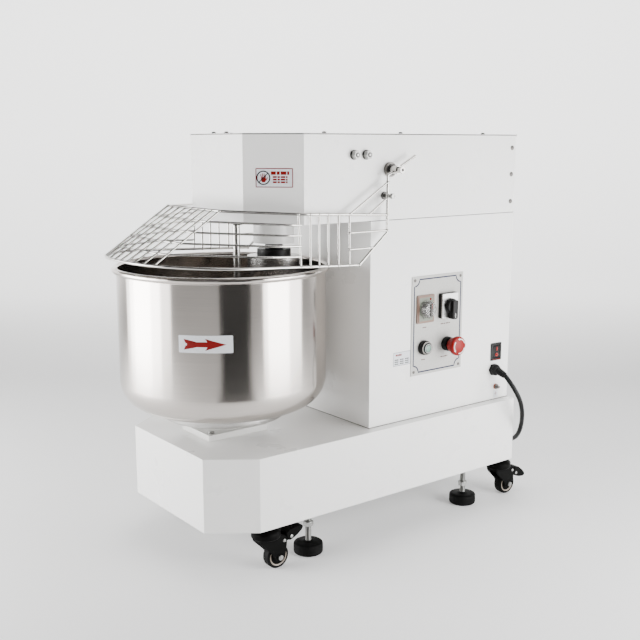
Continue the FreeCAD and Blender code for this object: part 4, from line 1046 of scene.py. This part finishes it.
# ---------------------------------------------------------------- labels on the casings
def make_hand_label():
    """Generic keep-hands-out sign on the head's right slant: ring, bar and palm, dashes for words."""
    corner_a = Vector((0.0919, -0.255, 0))
    corner_b = Vector((0.1729, -0.177, 0))
    along = (corner_b - corner_a).normalized()
    out = Vector((along.y, -along.x, 0))
    middle = corner_a + along * 0.0581 + Vector((0, 0, 0.7285))
    place = Matrix.Translation(middle) @ Matrix((
        (along.x, 0, out.x, 0), (along.y, 0, out.y, 0), (0, 1, 0, 0), (0, 0, 0, 1)))
    bm = bmesh.new()
    slab(bm, rectangle(0.069, 0.035, (0, 0), 0.0015), 0.0001, 0.0003, place)
    piece("hand_label", bm, M_LABEL, "frame")
    bm = bmesh.new()
    strip(bm, rectangle(0.067, 0.033, (0, 0), 0.001), 0.0016, 0.00025, 0.0004, place, True)
    palm = [(-0.0225, -0.008), (-0.0165, -0.008), (-0.015, -0.002), (-0.0155, 0.001), (-0.024, 0.001),
            (-0.0245, -0.003)]
    slab(bm, palm, 0.00025, 0.0004, place)
    fingers = ((-0.0235, 0.0062, -0.0014), (-0.0211, 0.0078, -0.0006), (-0.0187, 0.0078, 0.0002),
               (-0.0163, 0.0064, 0.001))
    for x, top, lean in fingers:
        strip(bm, [(x, 0.0005), (x + lean, top)], 0.0016, 0.00025, 0.0004, place)
    strip(bm, [(-0.0155, -0.005), (-0.0122, 0.0008)], 0.0017, 0.00025, 0.0004, place)
    text_bars(bm, place, 0.0115, 0.0085, 0.037, 1, 0.003, 0.0062, 0.0003)
    text_bars(bm, place, 0.0115, 0.0015, 0.03, 3, 0.0046, 0.0032, 0.0003)
    piece("hand_label_red", bm, M_INK_RED, "frame")
    bm = bmesh.new()
    strip(bm, arc(0.0118, 0, 350, 35, (-0.02, 0)), 0.0022, 0.0003, 0.0005, place, True)
    strip(bm, [(-0.028, -0.008), (-0.012, 0.008)], 0.0018, 0.00042, 0.0005, place)
    piece("hand_label_ring", bm, M_INK_BLACK, "frame")


def make_small_labels():
    """A small label with dashes beside the panel, and an earth sign under the earth stud."""
    place = side_at((WALL, 0.0685, 0.3625))
    bm = bmesh.new()
    slab(bm, rectangle(0.047, 0.029, (0, 0), 0.001), 0.0001, 0.0003, place)
    earth = side_at((WALL, 0.352, 0.243))
    slab(bm, rectangle(0.014, 0.016, (0, 0), 0.001), 0.0001, 0.0003, earth)
    piece("side_labels", bm, M_LABEL, "frame")
    bm = bmesh.new()
    text_bars(bm, place, -0.008, 0.008, 0.018, 1, 0.003, 0.0036, 0.0003)
    for width, y in ((0.007, 0.001), (0.0045, -0.001), (0.002, -0.003)):
        strip(bm, [(-width / 2, y), (width / 2, y)], 0.0008, 0.00025, 0.0004, earth)
    strip(bm, [(0, 0.001), (0, 0.0055)], 0.0008, 0.00025, 0.0004, earth)
    piece("side_labels_red", bm, M_INK_RED, "frame")
    bm = bmesh.new()
    for column in range(3):
        text_bars(bm, place, -0.014 + 0.014 * column, -0.0015, 0.011, 3, 0.0042, 0.0022, 0.0003)
    strip(bm, rectangle(0.045, 0.027), 0.0007, 0.0002, 0.0004, place, True)
    piece("side_labels_black", bm, M_INK_BLACK, "frame")


make_hand_label()
make_small_labels()


# ---------------------------------------------------------------- castors and feet
CASTOR_X = 0.165
STEMS_Y = {"front": -0.263, "rear": 0.377}
TRAIL = 0.022
WHEEL_R = 0.024
PEDAL_Z = 0.055
PEDAL_TURN = {"front": 8.0, "rear": -38.0}
FOOT_X = 0.15
FEET_Y = {"front": -0.1525, "rear": 0.278}
NUT_Z = {"front": 0.055, "rear": 0.04}


def side_slab(bm, outline, x_low, x_high, ease=0.0):
    """An outline of (y, z) points thickened along X."""
    slab(bm, outline, x_low, x_high, TO_SIDE, ease)


def make_castor(side, end):
    """Castor: swivel crown, two cheeks, axle bolt, tyre with a pale ring and hub, brake pedal."""
    x = side * CASTOR_X
    stem_y = STEMS_Y[end]
    axle_y = stem_y + TRAIL
    name = ("right_" if side > 0 else "left_") + end
    bm = bmesh.new()
    crown = [(0, 0.066), (0.0262, 0.066), (0.028, 0.068), (0.028, 0.077), (0.0262, 0.08),
             (0.02, 0.0846), (0.017, 0.085), (0.017, 0.0888), (0.0098, 0.0892), (0.0098, 0.0914),
             (0.006, 0.0914), (0.006, 0.1055), (0, 0.1058)]
    turned(bm, crown, at((x, stem_y, 0)), 0.0012, 48)
    cheek = [(stem_y - 0.022, 0.07), (stem_y - 0.02, 0.058), (axle_y - 0.017, 0.034),
             (axle_y - 0.011, 0.019), (axle_y + 0.008, 0.015), (axle_y + 0.013, 0.024),
             (axle_y + 0.017, 0.05), (axle_y + 0.016, 0.062), (axle_y + 0.002, 0.07)]
    for low in (0.011, -0.015):
        side_slab(bm, rounded(cheek, 0.006, 4, True), x + low, x + low + 0.004, 0.0008)
    back = [(stem_y - 0.022, 0.07), (stem_y - 0.021, 0.06), (stem_y - 0.006, 0.056), (stem_y - 0.004, 0.07)]
    side_slab(bm, back, x - 0.0115, x + 0.0115)
    fork = piece(name + "_yoke", bm, M_CASTOR, name + "_castor", 35)
    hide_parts(name + "_fork")

    bm = bmesh.new()
    for out in (1, -1):
        head = at((x + out * 0.015, axle_y, WHEEL_R), X_AXIS * out, 20)
        slab(bm, hexagon(0.0098), 0.0, 0.004, head, 0.0006)
        turned(bm, [(0, 0.0035), (0.0032, 0.0035), (0.003, 0.0048), (0, 0.005)], head, 0.0, 20)
        pin = [(0, 0), (0.0034, 0.0), (0.0034, 0.0008), (0.0022, 0.0019), (0, 0.002)]
        turned(bm, pin, at((x + out * 0.015, axle_y + 0.01, PEDAL_Z), X_AXIS * out), 0.0004, 20)
    turned(bm, [(0.004, -0.015), (0.004, 0.015)], at((x, axle_y, WHEEL_R), X_AXIS), 0.0, 20)
    piece(name + "_axle_bolt", bm, M_ZINC, name + "_castor")

    bm = bmesh.new()
    axle = at((x, axle_y, WHEEL_R), X_AXIS)
    tyre = [(0.018, -0.0078), (0.0195, -0.0095), (0.0222, -0.0098), (0.024, -0.007), (0.024, 0.007),
            (0.0222, 0.0098), (0.0195, 0.0095), (0.018, 0.0078)]
    turned(bm, tyre, axle, 0.0012, 56)
    wheel = piece(name + "_tyre", bm, M_RUBBER, name + "_roller")
    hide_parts(name + "_wheel")
    bm = bmesh.new()
    for out in (1, -1):
        rim = [(0.016, 0.0074), (0.0164, 0.0088), (0.0184, 0.0094), (0.0188, 0.0084)]
        turned(bm, [(r, out * w) for r, w in rim], axle, 0.0004, 56)
    piece(name + "_wheel_ring", bm, M_RING, name + "_roller")
    bm = bmesh.new()
    half = [(0.0041, 0.0098), (0.009, 0.0096), (0.0095, 0.0076), (0.0162, 0.0074), (0.0182, 0.006)]
    hub = [(r, -w) for r, w in half] + half[::-1] + [(0.0041, -0.0098)]
    turned(bm, hub, axle, 0.0006, 48)
    piece(name + "_wheel_hub", bm, M_CASTOR, name + "_roller", 30)
    make_pedal(name, x, axle_y + 0.01, PEDAL_TURN[end])


def make_pedal(name, x, pin_y, turn):
    """Brake pedal: a barrel on its pin, a ridged tread that curves up and two rivets."""
    tilt = Matrix.Translation((0, pin_y, PEDAL_Z)) @ Matrix.Rotation(math.radians(turn), 4, "X")
    tilt = tilt @ TO_SIDE
    bm = bmesh.new()
    arm = arc(0.0064, 60, 300, 16) + [(0.014, -0.006), (0.014, 0.006)]
    slab(bm, arm, x - 0.01, x + 0.01, tilt, 0.0005)
    tread = [(0.0125, -0.006), (0.022, -0.005), (0.033, -0.001), (0.045, 0.006), (0.0475, 0.0115),
             (0.043, 0.0155), (0.03, 0.0165), (0.016, 0.016), (0.007, 0.012), (0.007, 0.0045)]
    slab(bm, rounded(tread, 0.003, 3, True), x - 0.014, x + 0.014, tilt, 0.001)
    for i in range(4):
        ridge = (0.021 + 0.0052 * i, 0.0166)
        slab(bm, rectangle(0.0014, 0.0014, ridge, 0.0004), x - 0.012, x + 0.012, tilt)
    pedal = piece(name + "_tread", bm, M_CASTOR, name + "_brake", 30)
    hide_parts(name + "_pedal")
    bm = bmesh.new()
    for out in (1, -1):
        centre = tilt @ Vector((0.018, 0.001, x + out * 0.0138))
        rivet = [(0, 0), (0.0034, 0.0), (0.0031, 0.0008), (0.0015, 0.0013), (0, 0.0014)]
        turned(bm, rivet, at(centre, X_AXIS * out), 0.0, 20)
    piece(name + "_rivet", bm, M_ZINC, name + "_brake")


def make_foot(side, end):
    """Levelling foot: rubber pad, a rod with thread rings and a nut."""
    x, y = side * FOOT_X, FEET_Y[end]
    name = ("right_" if side > 0 else "left_") + end
    bm = bmesh.new()
    pad = [(0, 0.0), (0.0255, 0.0), (0.0286, 0.0022), (0.029, 0.005), (0.029, 0.019), (0.0278, 0.0216),
           (0.024, 0.023), (0.012, 0.024), (0.0095, 0.025), (0.0, 0.025)]
    turned(bm, pad, at((x, y, 0)), 0.0012, 56)
    foot = piece(name + "_pad", bm, M_RUBBER, name + "_leveller", 40)
    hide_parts(name + "_foot")
    bm = bmesh.new()
    thread = [(0.0, 0.02)]
    pitch, start, end_z = 0.0018, 0.025, 0.1275
    for i in range(int((end_z - start) / pitch)):
        z = start + pitch * i
        thread += [(0.0052, z), (0.006, z + pitch * 0.5)]
    thread += [(0.005, 0.127), (0.0, 0.1272)]
    lathe(bm, thread, at((x, y, 0)), 24)
    place = at((x, y, NUT_Z[end]), Z_AXIS, 12)
    slab(bm, hexagon(0.0188), 0.001, 0.009, place, 0.0008)
    nut = [(0.0052, 0.0), (0.0086, 0.0), (0.0092, 0.0012), (0.0092, 0.0088), (0.0086, 0.01), (0.0052, 0.01)]
    turned(bm, nut, place, 0.0004, 32)
    piece(name + "_rod", bm, M_ZINC, name + "_leveller", 30)


for hand in (1, -1):
    for place_name in ("front", "rear"):
        make_castor(hand, place_name)
        make_foot(hand, place_name)


# ---------------------------------------------------------------- studio
WARM_WHITE = (1.0, 0.995, 0.985, 1)
LAMP_AIM = Vector((0, -0.1, 0.45))    # the machine's middle
WORLD_FILL = 0.15                      # dim room light on the machine
WORLD_SEEN = 2.0                       # pale backdrop beyond the paper's edges


def matt(name, colour, rough):
    """Nodes of a studio card or sheet: a trace of cloudiness."""
    n = Nodes(name)
    n.colour(n.mixed(n.ranged(n.noise(1.5), 0.0, 1.0), shade(colour, 0.985), colour))
    n.set(Roughness=rough)
    return n


def paper(name, colour, rough):
    """White sweep, lit from within toward its back, and a little in front, so that it stays pale."""
    n = matt(name, colour, rough)
    n.set(Emission_Color=WARM_WHITE)
    depth = n.add("ShaderNodeSeparateXYZ")
    n.link(n.coords, depth.inputs["Vector"])
    glow = n.add("ShaderNodeMath", operation="ADD")
    n.link(n.ranged(depth.outputs["Y"], 0.2, 2.3, 1.2, 4.3), glow.inputs[0])
    n.link(n.ranged(depth.outputs["Y"], 0.35, 0.0, -3.2, -2.4), glow.inputs[1])
    n.link(glow.outputs["Value"], n.shader.inputs["Emission Strength"])
    return n.material


def stage_object(name, bm, material, turn=0.0, seen=True):
    """Floor, backdrop or card; an unseen card only shows in reflections."""
    mesh = bpy.data.meshes.new(name)
    bm.to_mesh(mesh)
    bm.free()
    mesh.materials.append(material)
    obj = bpy.data.objects.new(name, mesh)
    obj.rotation_euler.z = turn
    bpy.context.scene.collection.objects.link(obj)
    obj.visible_camera = seen
    obj.visible_diffuse = seen
    obj.visible_shadow = seen


def from_front(azimuth, distance, height=0.0):
    """A point seen from the bowl: azimuth in degrees from -Y toward +X."""
    a = math.radians(azimuth)
    return Vector((distance * math.sin(a), -distance * math.cos(a) + BOWL_AXIS[1], height))


def card(name, azimuth, distance, width, low, high, material):
    """An upright card that faces the bowl."""
    bm = bmesh.new()
    spot = from_front(azimuth, distance, (low + high) / 2)
    out = (from_front(azimuth, 0.0, spot.z) - spot).normalized()
    place = Matrix(((-out.y, 0, out.x, spot.x), (out.x, 0, out.y, spot.y), (0, 1, 0, spot.z), (0, 0, 0, 1)))
    slab(bm, rectangle(width, high - low), -0.01, 0.0, place)
    stage_object(name, bm, material, seen=False)


def floor_card(name, azimuth, near, far, width, material):
    """A card that lies on the floor, from near to far along an azimuth."""
    bm = bmesh.new()
    turn = Matrix.Rotation(math.radians(azimuth), 4, "Z")
    place = Matrix.Translation(from_front(azimuth, (near + far) / 2, 0.004)) @ turn
    slab(bm, rectangle(width, far - near), -0.003, 0.0, place)
    stage_object(name, bm, material, seen=False)


def sweep(name, depth, width, radius, top, low_side, material):
    """A paper sweep along the view: a floor that curves up into a wall behind the machine."""
    profile = [(-low_side, 0.0), (0, 0), (depth - radius, 0.0)]
    profile += arc(radius, -90, 0, 15, (depth - radius, radius))[1:]
    profile.append((depth, top))
    bm = bmesh.new()
    rows = []
    for forward, z in profile:
        rows.append([bm.verts.new((x, forward, z)) for x in (-width / 2, width / 2)])
    for low, high in zip(rows, rows[1:]):
        face = bm.faces.new((low[0], low[1], high[1], high[0]))
        face.smooth = True
    stage_object(name, bm, material, CAMERA_TURN)


def softbox(name, azimuth, distance, height, width, tall, power):
    """A large lamp round the bowl, aimed at the machine's middle."""
    light = bpy.data.lights.new(name, "AREA")
    light.shape = "RECTANGLE"
    light.size = width
    light.size_y = tall
    light.energy = power
    obj = bpy.data.objects.new(name, light)
    spot = from_front(azimuth, distance, height)
    obj.location = spot
    obj.rotation_euler = (LAMP_AIM - spot).to_track_quat("-Z", "Y").to_euler()
    bpy.context.scene.collection.objects.link(obj)


M_PAPER = paper("paper_sweep", (0.86, 0.86, 0.86), 0.75)
M_FLAG = matt("dark_flag", (0.01, 0.01, 0.01), 0.9).material

sweep("paper_sweep", 4.5, 16.0, 1.6, 2.7, 6.0, M_PAPER)
card("dark_flag", 71, 1.98, 1.14, 0.0, 0.48, M_FLAG)
floor_card("dark_floor", 71, 1.00, 1.98, 0.8, M_FLAG)

softbox("front_core", -33, 1.72, 0.52, 0.8, 1.05, 18)
softbox("front_box", -31, 1.75, 0.52, 1.5, 1.05, 42)
softbox("front_wide", -29, 1.78, 0.52, 2.3, 1.05, 44)
softbox("side_box", 118, 1.73, 0.52, 0.8, 1.05, 20)
softbox("side_wide", 125, 1.76, 0.52, 1.6, 1.05, 38)
softbox("top_box", 172, 1.0, 2.4, 1.8, 1.8, 26)
softbox("rear_box", 215, 3.2, 1.8, 2.0, 2.0, 16)

world = bpy.data.worlds.new("studio")
world.use_nodes = True
background = world.node_tree.nodes["Background"]
background.inputs["Color"].default_value = WARM_WHITE
ray = world.node_tree.nodes.new("ShaderNodeLightPath")
strength = world.node_tree.nodes.new("ShaderNodeMath")
strength.operation = "MULTIPLY_ADD"
strength.inputs[1].default_value = WORLD_SEEN
strength.inputs[2].default_value = WORLD_FILL
world.node_tree.links.new(ray.outputs["Is Camera Ray"], strength.inputs[0])
world.node_tree.links.new(strength.outputs["Value"], background.inputs["Strength"])
bpy.context.scene.world = world
